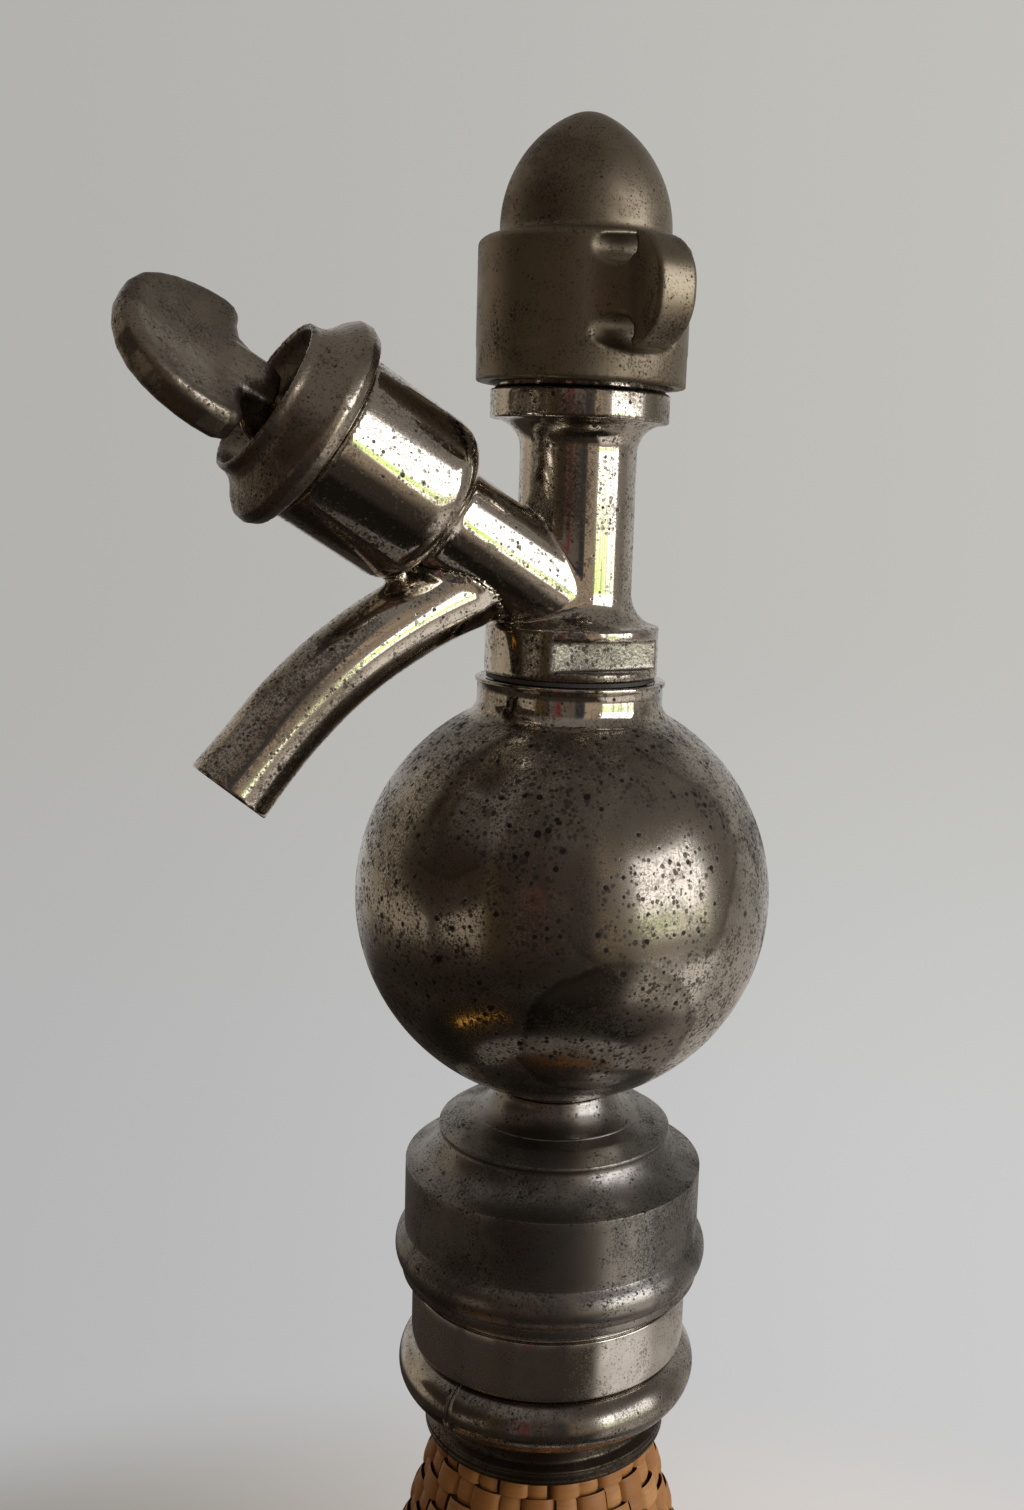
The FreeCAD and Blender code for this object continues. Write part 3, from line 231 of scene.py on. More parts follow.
def eased(profile, steps):
    """A closed outline of (r, z) or (r, z, rounding) corners, each rounded by its own radius."""
    corners = [np.array(p[:2], float) for p in profile]
    made = []
    for index, corner in enumerate(corners):
        radius = profile[index][2] if len(profile[index]) > 2 else 0
        back, ahead = corners[index - 1] - corner, corners[(index + 1) % len(corners)] - corner
        back_run, ahead_run = np.linalg.norm(back), np.linalg.norm(ahead)
        back, ahead = back / back_run, ahead / ahead_run
        half = math.acos(np.clip(back @ ahead, -1, 1)) / 2
        if radius <= 0 or half > 1.55:
            made.append(corner)
            continue
        cut = min(radius / math.tan(half), 0.49 * back_run, 0.49 * ahead_run)
        radius = cut * math.tan(half)
        middle = corner + (back + ahead) / np.linalg.norm(back + ahead) * (radius / math.sin(half))
        start, end = corner + back * cut - middle, corner + ahead * cut - middle
        first, last = math.atan2(start[1], start[0]), math.atan2(end[1], end[0])
        sweep = (last - first + math.pi) % (2 * math.pi) - math.pi
        for step in range(steps + 1):
            a = first + sweep * step / steps
            made.append(middle + radius * np.array([math.cos(a), math.sin(a)]))
    return dense(made)


# ---- the head's frames, in millimetres ----

BRANCH_RISE = math.radians(31)
LEVER_ROLL = math.radians(40)
BRANCH_ROOT = np.array([0, 0, 360.5])
PIVOT_ALONG, PIVOT_DROP = 50.9, 5.5
OUT = np.array([-math.cos(BRANCH_RISE), 0, math.sin(BRANCH_RISE)])
UP = np.array([math.sin(BRANCH_RISE), 0, math.cos(BRANCH_RISE)])
SIDE = np.array([0.0, 1.0, 0.0])
FACE = math.cos(LEVER_ROLL) * UP - math.sin(LEVER_ROLL) * SIDE
ALONG = math.sin(LEVER_ROLL) * UP + math.cos(LEVER_ROLL) * SIDE
PIVOT = BRANCH_ROOT + PIVOT_ALONG * OUT - PIVOT_DROP * FACE


def valve(p):
    """Distance along the branch, then upward and sideways from its axis."""
    q = p - BRANCH_ROOT
    return q @ OUT, q @ UP, q[:, 1]


def lever(p):
    """Height above the lever's pivot, distance along its pin, and distance outward."""
    q = p - PIVOT
    return q @ FACE, q @ ALONG, q @ OUT


# ---- the head casting and its spout ----

SHAFT = dict(radius=9.0, low=352, high=400)
COLLAR = dict(radius=13.5, low=350.4, high=358.1, edge=0.4)
FLANGE = dict(radius=13.7, low=388.9, high=393.3, edge=0.4)
STUB = dict(radius=12.9, low=392, high=404)
SPIGOT = dict(radius=12.0, low=340.4, high=351.0)
POCKET_TURN = math.radians(-87)
POCKET_OUT = (math.cos(POCKET_TURN), math.sin(POCKET_TURN), 0.0)
POCKET_FLOOR, POCKET_LOW, POCKET_HIGH = 10.0, 351.9, 356.4
BRANCH = dict(radius=8.4, low=0, high=31)
CUP_RADIUS, CUP_FOOT, CUP_MOUTH, CUP_ROUND = 13.05, 27, 47.6, 4.5
CUP_THREAD = dict(radius=10.5, low=41, high=49)
CUP_BORES = (dict(radius=8.05, low=30, high=42), dict(radius=3.05, low=12, high=31))
STUB_BORES = (dict(radius=6.05, low=398.9, high=405), dict(radius=4.25, low=376.9, high=400))
RISER_SOCKET = dict(radius=3.55, low=340, high=348.6)


def column_field(p):
    """Shaft, collar with its sunk pocket, flange and threaded stub."""
    x, y, z = p.T
    r = np.hypot(x, y)
    f = blend(rod(r, z, **SHAFT), capped(r, z, **COLLAR), 5.2)
    f = blend(f, capped(r, z, **FLANGE), 4.4)
    f = np.minimum(f, capped(r, z, **STUB))
    across = np.abs(x * POCKET_OUT[0] + y * POCKET_OUT[1])
    pocket = np.maximum(POCKET_FLOOR - across, slab(z, POCKET_LOW, POCKET_HIGH))
    return minus(f, pocket, 0.2)


def branch_field(p):
    """The slanting tube and the valve cup at its end."""
    s, u, v = valve(p)
    r = np.hypot(u, v)
    cup = both(both(r - CUP_RADIUS, CUP_FOOT - s, CUP_ROUND), s - CUP_MOUTH, 0.4)
    return blend(rod(r, s, **BRANCH), cup, 1.3)


def head_field(p):
    """The head casting, hollow where its valve, its bulb and its tubes sit."""
    f = blend(column_field(p), branch_field(p), 0.45)
    s, u, v = valve(p)
    ring = np.hypot(u, v)
    x, y, z = p.T
    r = np.hypot(x, y)
    f = minus(f, rod(ring, s, **CUP_THREAD), 0.3)
    for bore in CUP_BORES:
        f = np.maximum(f, -rod(ring, s, **bore))
    for bore in STUB_BORES:
        f = np.maximum(f, -rod(r, z, **bore))
    return np.maximum(np.minimum(f, rod(r, z, **SPIGOT)), -rod(r, z, **RISER_SOCKET))


SPOUT_RADIUS, SPOUT_BORE, SPOUT_BEND = 6.03, 4.6, 72.0
SPOUT_ROOT_X, SPOUT_ROOT_Z = -18.5, 363.1
SPOUT_ROOT_SLOPE, SPOUT_TIP_SLOPE = math.radians(21.4), math.radians(51)
SPOUT_TIP, SPOUT_FLARE = 9.0, 0.3


def tube_path_field(p, radius):
    """A tube along the spout's bend and its straight tip, and the distance beyond the tip's end."""
    x, y, z = p.T
    cx = SPOUT_ROOT_X + SPOUT_BEND * math.sin(SPOUT_ROOT_SLOPE)
    cz = SPOUT_ROOT_Z - SPOUT_BEND * math.cos(SPOUT_ROOT_SLOPE)
    angle = np.clip(np.arctan2(cx - x, z - cz), SPOUT_ROOT_SLOPE, SPOUT_TIP_SLOPE)
    nx, nz = cx - SPOUT_BEND * np.sin(angle), cz + SPOUT_BEND * np.cos(angle)
    ring = np.sqrt((x - nx) ** 2 + y ** 2 + (z - nz) ** 2)
    tx = x - cx + SPOUT_BEND * math.sin(SPOUT_TIP_SLOPE)
    tz = z - cz - SPOUT_BEND * math.cos(SPOUT_TIP_SLOPE)
    ax, az = -math.cos(SPOUT_TIP_SLOPE), -math.sin(SPOUT_TIP_SLOPE)
    run = tx * ax + tz * az
    along = np.clip(run, 0, 30)
    tip = np.sqrt((tx - along * ax) ** 2 + y ** 2 + (tz - along * az) ** 2)
    flare = SPOUT_FLARE * np.minimum(along / SPOUT_TIP, 1) ** 2
    return np.minimum(ring, tip - flare) - radius, run - SPOUT_TIP


def spout_field(p):
    """The bent tube with its fillet of solder against the casting."""
    outer, beyond = tube_path_field(p, SPOUT_RADIUS)
    bore, _ = tube_path_field(p, SPOUT_BORE)
    head = head_field(p)
    f = minus(both(blend(outer, head, 1.6), beyond, 0.25), bore, 0.15)
    solder_reach, clearance = 3.0, 0.03
    return np.maximum(np.maximum(f, clearance - head), outer - solder_reach)


# ---- the bulb's cap ----

CAP_RADIUS, CAP_FOOT, CAP_SHOULDER = 15.95, 394.25, 415.1
CAP_BORE, CAP_BORE_TOP = 13.7, 406.5
DOME_Z, FLANK_BACK, FLANK_RADIUS = 416.7, 5.2, 18.1
NOSE_RISE, NOSE_RADIUS, DOME_WALL = 10.37, 6.5, 2.3
WING_TURN, WING_Z = math.radians(-86), 406.6
WING_REACH, WING_HALF, WING_ROOT = 25.5, 3.1, 5.0
WING_ROUND, WING_ROUND_AT = 7.9, 17.6
SCALLOP_RADIUS, SCALLOP_AT, SCALLOP_RISE = 2.4, 16.6, 5.9


def dome_field(r, z):
    """A flank that leans in, rounded off by a nose."""
    rise = z - DOME_Z
    flank = np.hypot(r + FLANK_BACK, rise) - FLANK_RADIUS
    nose = np.hypot(r, rise - NOSE_RISE) - NOSE_RADIUS
    on_nose = np.arctan2(rise, r + FLANK_BACK) > math.atan2(NOSE_RISE, FLANK_BACK)
    return np.where(rise < 0, r - (FLANK_RADIUS - FLANK_BACK), np.where(on_nose, nose, flank))


def cap_field(p):
    """The domed cap with two wings, a scallop above and below each."""
    x, y, z = p.T
    r = np.hypot(x, y)
    dome = dome_field(r, z)
    body = both(both(r - CAP_RADIUS, CAP_FOOT - z, 0.35), z - CAP_SHOULDER, 1.5)
    body = blend(body, np.maximum(dome, 410 - z), 1.3)
    q = np.abs(x * math.cos(WING_TURN) + y * math.sin(WING_TURN))
    v = np.abs(y * math.cos(WING_TURN) - x * math.sin(WING_TURN))
    level = z - WING_Z
    plan = blend(r - CAP_RADIUS, both(v - WING_HALF, q - WING_REACH, 0.8), WING_ROOT)
    side = np.hypot(np.maximum(q - WING_ROUND_AT, 0), level) - WING_ROUND
    body = blend(body, both(plan, side, 0.7), 0.3)
    scallop = np.hypot(q - SCALLOP_AT, np.abs(level) - SCALLOP_RISE) - SCALLOP_RADIUS
    body = minus(body, np.maximum(scallop, v - 12), 0.3)
    body = minus(body, np.maximum(r - CAP_BORE, z - CAP_BORE_TOP), 0.3)
    return np.maximum(body, -np.maximum(dome + DOME_WALL, 406.2 - z))


# ---- the valve's ring and the thumb lever ----

# The ring's section: radius, then distance along the branch.
RING = [(8.8, 45.8), (10.2, 45.8), (10.2, 48.0), (14.1, 48.0), (15.6, 48.6), (16.25, 50.0), (16.0, 51.4),
        (14.9, 52.5), (13.5, 53.4), (12.4, 54.4), (11.85, 55.5), (11.75, 56.4), (11.6, 56.9), (11.2, 57.0),
        (10.9, 56.7), (10.4, 55.1), (9.4, 53.1), (8.8, 51.2)]
LUG_RADIUS, LUG_INNER, LUG_REACH = 2.3, 3.9, 9.9


def ring_field(p):
    """The flanged ring with a lug on each side of the lever."""
    s, u, v = valve(p)
    r = np.hypot(u, v)
    a, b, c = lever(p)
    beside = LUG_INNER - np.abs(b)
    lug = both(np.hypot(a, c) - LUG_RADIUS, beside, 0.3)
    web = np.maximum(both(np.abs(a + 0.3) - 1.1, beside, 0.3), slab(c, -1.5, 4.2))
    lugs = np.maximum(blend(lug, web, 0.8), r - LUG_REACH)
    return blend(polygon(r, s, RING), lugs, 0.8)


# Half of the thumb plate's outline: distance outward, then half width.
PLATE = [(0, 3.5), (3, 4.6), (4.7, 6.2), (5.0, 8.6), (4.7, 10.8), (5.3, 12.4), (6.9, 13.3), (9.6, 13.2),
         (11.8, 12.7), (14.5, 11.6), (16.6, 10.2), (18.6, 8.2), (20.1, 5.2), (20.8, 1.8)]
PLATE_STRETCH, PLATE_WIDEN = 1.11, 1.025
PLATE_RISE, PLATE_SLOPE, PLATE_TURN = 5.45, 0.018, math.radians(10.3)
PLATE_SINK, PLATE_HALF = 0.85, 2.75
TURN_FROM, TURN_AT = 16.5, 11.5
DISH_RADIUS, DISH_RISE, DISH_AT = 55.2, 56.2, 12.0
# The arm's side view: height above the pivot, then distance outward.
ARM = [(-2.0, 0), (-1.2, -1.6), (0.8, -1.8), (1.8, 0), (1.9, 3.0), (5.0, 4.1), (7.4, 4.9), (7.5, 12.5),
       (4.4, 12.5), (4.1, 8.8), (1.5, 6.6), (-0.8, 2.6)]
ARM_HALF, ARM_SPREAD, HUB_RADIUS, HUB_HALF = 3.4, 0.9, 2.0, 3.6


def plate_field(a, b, c):
    """The thumb plate: a dished slab, turned in its own plane."""
    h, far = a - PLATE_RISE - PLATE_SLOPE * (c - 5.0), c - TURN_FROM
    u = far * math.cos(PLATE_TURN) - b * math.sin(PLATE_TURN) + TURN_AT
    v = far * math.sin(PLATE_TURN) + b * math.cos(PLATE_TURN)
    half = [(width * PLATE_WIDEN, length * PLATE_STRETCH) for length, width in PLATE]
    outline = half + [(-width, length) for width, length in reversed(half)]
    plate = both(polygon(v, u, outline), np.abs(h + PLATE_SINK) - PLATE_HALF, 2.0)
    dish = np.sqrt((h - DISH_RISE) ** 2 + (v * 0.9) ** 2 + (u - DISH_AT) ** 2) - DISH_RADIUS
    return minus(plate, dish, 0.7)


def lever_field(p):
    """Plate, arm, hub and the two prongs under the stem's head."""
    a, b, c = lever(p)
    spread = ARM_HALF + ARM_SPREAD * np.clip((c - 3) / 3, 0, 1)
    arm = both(polygon(a, c, ARM), np.abs(b) - spread, 0.7)
    hub = both(np.hypot(a, c) - HUB_RADIUS, np.abs(b) - HUB_HALF, 0.2)
    f = np.minimum(blend(plate_field(a, b, c), arm, 1.6), hub)
    prong = both(np.abs(c) - 0.8, np.abs(np.abs(b) - 2.85) - 0.75, 0.2)
    return blend(f, both(prong, slab(a, 0, 6.0), 0.2), 0.5)


# ---- node trees ----

class Nodes:
    """Short calls for building a node tree."""

    def __init__(self, tree, coordinate):
        self.tree = tree
        self.where = self.add("ShaderNodeTexCoord").outputs[coordinate]

    def add(self, kind, **settings):
        made = self.tree.nodes.new(kind)
        for name, value in settings.items():
            setattr(made, name, value)
        return made

    def link(self, source, target):
        """Joins a socket to the target, or sets the target to a constant."""
        if isinstance(source, bpy.types.NodeSocket):
            self.tree.links.new(source, target)
        else:
            target.default_value = source

    def calculate(self, kind, a, b, clamp=False):
        node = self.add("ShaderNodeMath", operation=kind, use_clamp=clamp)
        self.link(a, node.inputs[0])
        self.link(b, node.inputs[1])
        return node.outputs[0]

    def plus(self, a, b, clamp=False):
        return self.calculate("ADD", a, b, clamp)

    def less(self, a, b):
        return self.calculate("SUBTRACT", a, b)

    def times(self, a, b, clamp=False):
        return self.calculate("MULTIPLY", a, b, clamp)

    def larger(self, a, b):
        return self.calculate("MAXIMUM", a, b)

    def smaller(self, a, b):
        return self.calculate("MINIMUM", a, b)

    def amount(self, a):
        return self.calculate("ABSOLUTE", a, 0.0)

    def split(self, vector):
        node = self.add("ShaderNodeSeparateXYZ")
        self.link(vector, node.inputs[0])
        return node.outputs

    def mapped(self, scale=(1, 1, 1), offset=(0, 0, 0), turn=(0, 0, 0)):
        node = self.add("ShaderNodeMapping")
        self.link(self.where, node.inputs["Vector"])
        node.inputs["Scale"].default_value = scale
        node.inputs["Location"].default_value = offset
        node.inputs["Rotation"].default_value = turn
        return node.outputs[0]

    def noise(self, scale, detail=4, roughness=0.55, distortion=0.0, source=None):
        node = self.add("ShaderNodeTexNoise")
        self.link(source or self.where, node.inputs["Vector"])
        node.inputs["Scale"].default_value = scale
        node.inputs["Detail"].default_value = detail
        node.inputs["Roughness"].default_value = roughness
        node.inputs["Distortion"].default_value = distortion
        return node.outputs["Fac"]

    def pepper(self, scale, size, density, offset=(0, 0, 0)):
        """Round specks, each of its own size, up to a share of the cell they stand in."""
        node = self.add("ShaderNodeTexVoronoi", feature="F1")
        self.link(self.mapped(offset=offset), node.inputs["Vector"])
        node.inputs["Scale"].default_value = scale
        own = self.calculate("POWER", self.split(node.outputs["Color"])[0], 1.6)
        own = self.times(self.times(own, size), density)
        hard_edge = 9.0
        return self.times(self.less(own, node.outputs["Distance"]), hard_edge, clamp=True)

    def ramp(self, source, stops):
        """Grey levels or colours along the source."""
        node = self.add("ShaderNodeValToRGB")
        self.link(source, node.inputs["Fac"])
        band = node.color_ramp
        while len(band.elements) < len(stops):
            band.elements.new(0.5)
        for element, (place, colour) in zip(band.elements, stops):
            element.position = place
            element.color = (*colour, 1) if isinstance(colour, tuple) else (colour,) * 3 + (1,)
        return node.outputs["Color"]

    def smooth(self, value, low, high, start=0.0, end=1.0):
        """A soft step from start to end as the value goes from low to high."""
        step = self.add("ShaderNodeMapRange", interpolation_type="SMOOTHSTEP")
        self.link(value, step.inputs["Value"])
        for key, setting in (("From Min", low), ("From Max", high), ("To Min", start), ("To Max", end)):
            step.inputs[key].default_value = setting
        return step.outputs[0]

    def mix(self, factor, a, b):
        node = self.add("ShaderNodeMix", data_type="RGBA")
        first, second = node.inputs[6], node.inputs[7]
        self.link(factor, node.inputs[0])
        self.link((*a, 1) if isinstance(a, tuple) else a, first)
        self.link((*b, 1) if isinstance(b, tuple) else b, second)
        return node.outputs[2]


class Finish(Nodes):
    """The node tree of one material, in object coordinates."""

    def __init__(self, name):
        self.material = bpy.data.materials.new(name)
        self.material.use_nodes = True
        super().__init__(self.material.node_tree, "Object")
        self.shader = self.tree.nodes["Principled BSDF"]

    def bump(self, height, distance, strength, normal=None):
        node = self.add("ShaderNodeBump")
        self.link(height, node.inputs["Height"])
        node.inputs["Distance"].default_value = distance
        node.inputs["Strength"].default_value = strength
        if normal is not None:
            self.link(normal, node.inputs["Normal"])
        return node.outputs["Normal"]

    def finish(self, colour, roughness, metallic, normal, **others):
        self.link((*colour, 1) if isinstance(colour, tuple) else colour, self.shader.inputs["Base Color"])
        self.link(roughness, self.shader.inputs["Roughness"])
        self.shader.inputs["Metallic"].default_value = metallic
        self.link(normal, self.shader.inputs["Normal"])
        for name, value in others.items():
            self.shader.inputs[name.replace("_", " ")].default_value = value
        return self.material


# ---- worn plate: the layers of one material ----

def fine_grime(n, broad, drift, grain, dust):
    """A film of dirt in fine grains, thicker in the drifts."""
    level = n.noise(3000 * grain, 3, 0.75)
    level = n.plus(level, n.times(n.plus(drift, -0.5), 0.55))
    level = n.plus(level, n.times(n.plus(broad, -0.5), -0.35))
    edge, softness = 0.36 + 0.16 * dust, 0.06
    return n.ramp(level, [(edge - softness, 1.0), (edge + softness, 0.0)])


def specks(n, drift, grain, spots):
    """Black specks in three sizes: all of them, then those deep enough to dent the surface."""
    density = n.ramp(drift, [(0.36, 1.0), (0.62, 0.5)])
    fine = n.pepper(1600 * grain, 0.35 + 0.65 * spots, density)
    small = n.pepper(750 * grain, 0.14 + 0.40 * spots, density, (0.2, 0.5, 0.1))
    large = n.pepper(300 * grain, 0.04 + 0.20 * spots, 1.0, (0.31, 0.17, 0.09))
    return n.larger(n.larger(n.times(fine, 0.7), small), large), n.larger(large, small)


def with_stains(n, look, stains, dull, brown):
    """Ragged dull patches with a brown rim. The second value is where they are."""
    stained = None
    for centre, radius, depth in stains:
        far = n.add("ShaderNodeVectorMath", operation="DISTANCE")
        n.link(n.where, far.inputs[0])
        far.inputs[1].default_value = [v * MM for v in centre]
        ragged = n.times(n.plus(n.noise(95, 5, 0.62), -0.5), 0.55)
        span = n.plus(n.times(far.outputs["Value"], 1000 / radius), ragged)
        within = n.times(n.ramp(span, [(0.93, 1.0), (0.98, 0.0)]), depth)
        rim = n.ramp(span, [(0.85, 0.0), (0.93, 0.8), (0.97, 0.8), (1.0, 0.0)])
        look = n.mix(within, look, tuple(0.75 * v for v in dull))
        look = n.mix(n.times(rim, depth), look, brown)
        stained = within if stained is None else n.larger(stained, within)
    return look, stained


def with_polish(n, look, rough, dots, grime, above, colour):
    """Bright metal above a wavy line at this height."""
    wavy = n.plus(n.split(n.where)[2], n.times(n.noise(120, 4, 0.6), 0.0016))
    high = n.ramp(n.times(n.plus(wavy, -above * MM), 500), [(0.0, 0.0), (0.7, 1.0)])
    clear = n.less(0.9, n.larger(dots, n.times(grime, 0.6)))
    look = n.mix(n.times(high, clear), look, colour)
    return look, n.plus(n.times(rough, n.less(1.0, high)), n.times(high, 0.05))


def in_pocket(n):
    """One on the floor of the collar's pocket, and nought elsewhere."""
    away = n.add("ShaderNodeVectorMath", operation="DOT_PRODUCT")
    n.link(n.where, away.inputs[0])
    away.inputs[1].default_value = POCKET_OUT
    middle = (POCKET_LOW + POCKET_HIGH) / 2
    off = n.amount(n.plus(away.outputs["Value"], -POCKET_FLOOR * MM))
    level = n.amount(n.plus(n.split(n.where)[2], -middle * MM))
    on_floor = n.calculate("LESS_THAN", off, 0.25 * MM)
    return n.times(on_floor, n.calculate("LESS_THAN", level, 2.3 * MM))


AROUND, DOWN = (45, 45, 3800), (3000, 3000, 90)


def worn_plate(name, clean, dull, pit, dust, spots, shine, dullness, grain=1.0, cloudy=0.5, stains=(),
               polished=None, pocket=None, brushed=None, cast=0.0, turned=0.0):
    """Old plate: clouds of dull metal, fine grime that thickens in drifts, black pits and stains."""
    n = Finish(name)
    broad = n.noise(40 * grain, 5, 0.62, 0.6, n.mapped(offset=(0.13, 0.4, 0.2)))
    drift = n.noise(150 * grain, 5, 0.68, 0.4, n.mapped(offset=(0.3, 0.1, 0.7)))
    cloud = n.ramp(broad, [(0.58 - 0.2 * cloudy, 0.0), (0.66 - 0.1 * cloudy, 1.0)])
    grime = fine_grime(n, broad, drift, grain, dust)
    dots, dents = specks(n, drift, grain, spots)
    brown = tuple(0.35 * a + 0.65 * b for a, b in zip(dull, pit))

    look = n.mix(cloud, clean, dull)
    if stains:
        look, stained = with_stains(n, look, stains, dull, brown)
        grime = n.times(grime, n.less(1.0, n.times(stained, 0.5)))
    look = n.mix(n.times(grime, 0.82), look, brown)
    look = n.mix(n.times(dots, 0.92), look, pit)
    rough = n.plus(n.times(cloud, dullness - shine), shine)
    rough = n.plus(rough, n.times(grime, 0.20))
    if polished:
        look, rough = with_polish(n, look, rough, dots, grime, *polished)
    rough = n.plus(rough, n.times(dots, 0.35), clamp=True)
    height = n.times(dents, -0.6)
    if pocket:
        inside = in_pocket(n)
        look = n.mix(n.times(inside, 0.75), look, pocket)
        rough = n.plus(rough, n.times(inside, 0.30), clamp=True)
        height = n.plus(height, n.times(inside, n.times(n.noise(1300, 2, 0.5), 9.0)))
    if brushed:
        lines, strength = brushed
        scratch = n.ramp(n.noise(1.0, 3, 0.6, 0.0, n.mapped(lines)), [(0.36, 0.0), (0.64, 1.0)])
        height = n.plus(height, n.times(scratch, 0.4 * strength))
        look = n.mix(n.times(scratch, 0.22 * strength), look, dull)

    normal = n.bump(height, 0.04 * MM, 0.4)
    if cast:
        lumps = n.plus(n.noise(300, 3, 0.55), n.times(n.noise(80, 2, 0.5), 1.6))
        normal = n.bump(lumps, 1.2 * MM * cast, 0.5, normal)
    if turned:
        tangent = n.add("ShaderNodeTangent", direction_type="RADIAL", axis="Z")
        n.link(tangent.outputs[0], n.shader.inputs["Tangent"])
        n.shader.inputs["Anisotropic"].default_value = turned
        n.shader.inputs["Anisotropic Rotation"].default_value = 0.25
    return n.finish(look, rough, 1.0, normal)


# ---- the other materials ----

def cane(name):
    """Split cane: long fibres, a warm tan that varies from strip to strip."""
    n = Finish(name)
    shade = n.add("ShaderNodeAttribute", attribute_name="strip").outputs["Fac"]
    fibre = n.noise(1.0, 4, 0.6, 0.2, n.mapped((300, 300, 2600)))
    blotch = n.noise(60, 4, 0.6)
    tan = n.ramp(shade, [(0.0, (0.36, 0.14, 0.036)), (0.45, (0.50, 0.22, 0.066)), (1.0, (0.62, 0.31, 0.11))])
    tan = n.mix(n.ramp(fibre, [(0.35, 0.0), (0.7, 0.35)]), tan, (0.28, 0.11, 0.028))
    tan = n.mix(n.ramp(blotch, [(0.5, 0.0), (0.75, 0.45)]), tan, (0.24, 0.09, 0.022))
    rough = n.plus(n.times(fibre, 0.3), 0.38)
    return n.finish(tan, rough, 0.0, n.bump(fibre, 0.15 * MM, 0.6), Specular_IOR_Level=0.35)


def plain(name, colour, shade, roughness, metallic, grain=120, bump=0.04 * MM):
    """A simple surface: its colour mottled a little, with a faint grain."""
    n = Finish(name)
    mottle = n.noise(grain, 4, 0.6)
    look = n.mix(n.ramp(mottle, [(0.35, 0.0), (0.7, 1.0)]), colour, shade)
    rough = n.plus(n.times(mottle, 0.15), roughness)
    return n.finish(look, rough, metallic, n.bump(mottle, bump, 0.5))


def clear_glass(name, tint):
    """Glass with the faint ripple of an old bottle."""
    n = Finish(name)
    ripple = n.bump(n.noise(14, 2, 0.5), 0.4 * MM, 0.3)
    return n.finish(tint, 0.03, 0.0, ripple, Transmission_Weight=1.0, IOR=1.5)


# Stains on the ball: centre in millimetres, radius in millimetres and depth of tone.
BALL_STAINS = [((-1.5, -30.5, 327.0), 17.0, 0.5), ((-5.8, -28.8, 300.0), 14.0, 0.7),
               ((-27.0, -15.0, 330.0), 7.0, 0.4), ((20.0, 24.0, 325.0), 13.0, 0.5),
               ((-24.0, 18.0, 306.0), 11.0, 0.5)]
BRIGHT_NICKEL = (0.60, 0.545, 0.475)

brass = worn_plate(
    "worn_brass", clean=(0.25, 0.205, 0.15), dull=(0.18, 0.142, 0.10), pit=(0.05, 0.038, 0.026),
    dust=0.3, spots=0.25, shine=0.42, dullness=0.52, brushed=(DOWN, 0.5))
nickel = worn_plate(
    "nickel_plate", clean=BRIGHT_NICKEL, dull=(0.36, 0.31, 0.255), pit=(0.03, 0.022, 0.016),
    dust=0.7, spots=0.75, shine=0.05, dullness=0.14, pocket=(0.20, 0.185, 0.15))
ball_plate = worn_plate(
    "ball_plate", clean=(0.50, 0.46, 0.405), dull=(0.28, 0.24, 0.195), pit=(0.02, 0.016, 0.013),
    dust=0.8, spots=0.9, shine=0.12, dullness=0.20, grain=0.9, cloudy=0.7, stains=BALL_STAINS,
    polished=(344.2, BRIGHT_NICKEL))
base_plate = worn_plate(
    "base_plate", clean=(0.27, 0.247, 0.225), dull=(0.15, 0.137, 0.125), pit=(0.02, 0.017, 0.015),
    dust=0.5, spots=0.4, shine=0.29, dullness=0.40, brushed=(AROUND, 0.3), turned=0.3)
bright = worn_plate(
    "bright_ring", clean=(0.60, 0.56, 0.52), dull=(0.44, 0.40, 0.36), pit=(0.06, 0.05, 0.04),
    dust=0.25, spots=0.3, shine=0.12, dullness=0.20, brushed=(AROUND, 0.25), turned=0.5)
ring_plate = worn_plate(
    "ring_plate", clean=(0.47, 0.43, 0.385), dull=(0.25, 0.22, 0.19), pit=(0.03, 0.025, 0.02),
    dust=0.45, spots=0.4, shine=0.09, dullness=0.20, turned=0.3)
# Painted shade: the skirt is coloured far darker than the other plate, for the shade it lies in under the
# split ring.
shaded_skirt_plate = worn_plate(
    "shaded_skirt_plate", clean=(0.17, 0.145, 0.12), dull=(0.06, 0.045, 0.032), pit=(0.02, 0.016, 0.012),
    dust=0.6, spots=0.4, shine=0.22, dullness=0.36, cloudy=0.9)
white_metal = worn_plate(
    "white_metal", clean=(0.36, 0.31, 0.255), dull=(0.19, 0.158, 0.122), pit=(0.04, 0.03, 0.022),
    dust=0.5, spots=0.35, shine=0.24, dullness=0.40, cloudy=0.8, cast=0.35)
lead = plain("lead_washer", (0.10, 0.095, 0.09), (0.05, 0.045, 0.04), 0.5, 0.6)
straw = cane("cane")
bottle_glass = clear_glass("bottle_glass", (0.90, 0.97, 0.95))
tube_glass = clear_glass("tube_glass", (0.96, 0.99, 0.98))
rubber = plain("seal_rubber", (0.035, 0.033, 0.032), (0.02, 0.02, 0.02), 0.6, 0.0)
inner_brass = plain("inner_brass", (0.62, 0.45, 0.20), (0.42, 0.29, 0.12), 0.28, 1.0)
inner_steel = plain("inner_steel", (0.58, 0.57, 0.56), (0.42, 0.41, 0.40), 0.25, 1.0)
bulb_steel = plain("bulb_steel", (0.66, 0.66, 0.67), (0.5, 0.5, 0.5), 0.22, 1.0)
cane_shadow = plain("cane_shadow", (0.10, 0.05, 0.02), (0.05, 0.025, 0.01), 0.8, 0.0)


def finished(piece, body, nodes, material):
    """Dresses a piece and lets it take the place of these solids."""
    piece.data.materials.append(material)
    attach(piece, body)
    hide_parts(*nodes)
    return piece


# ---- cast pieces ----

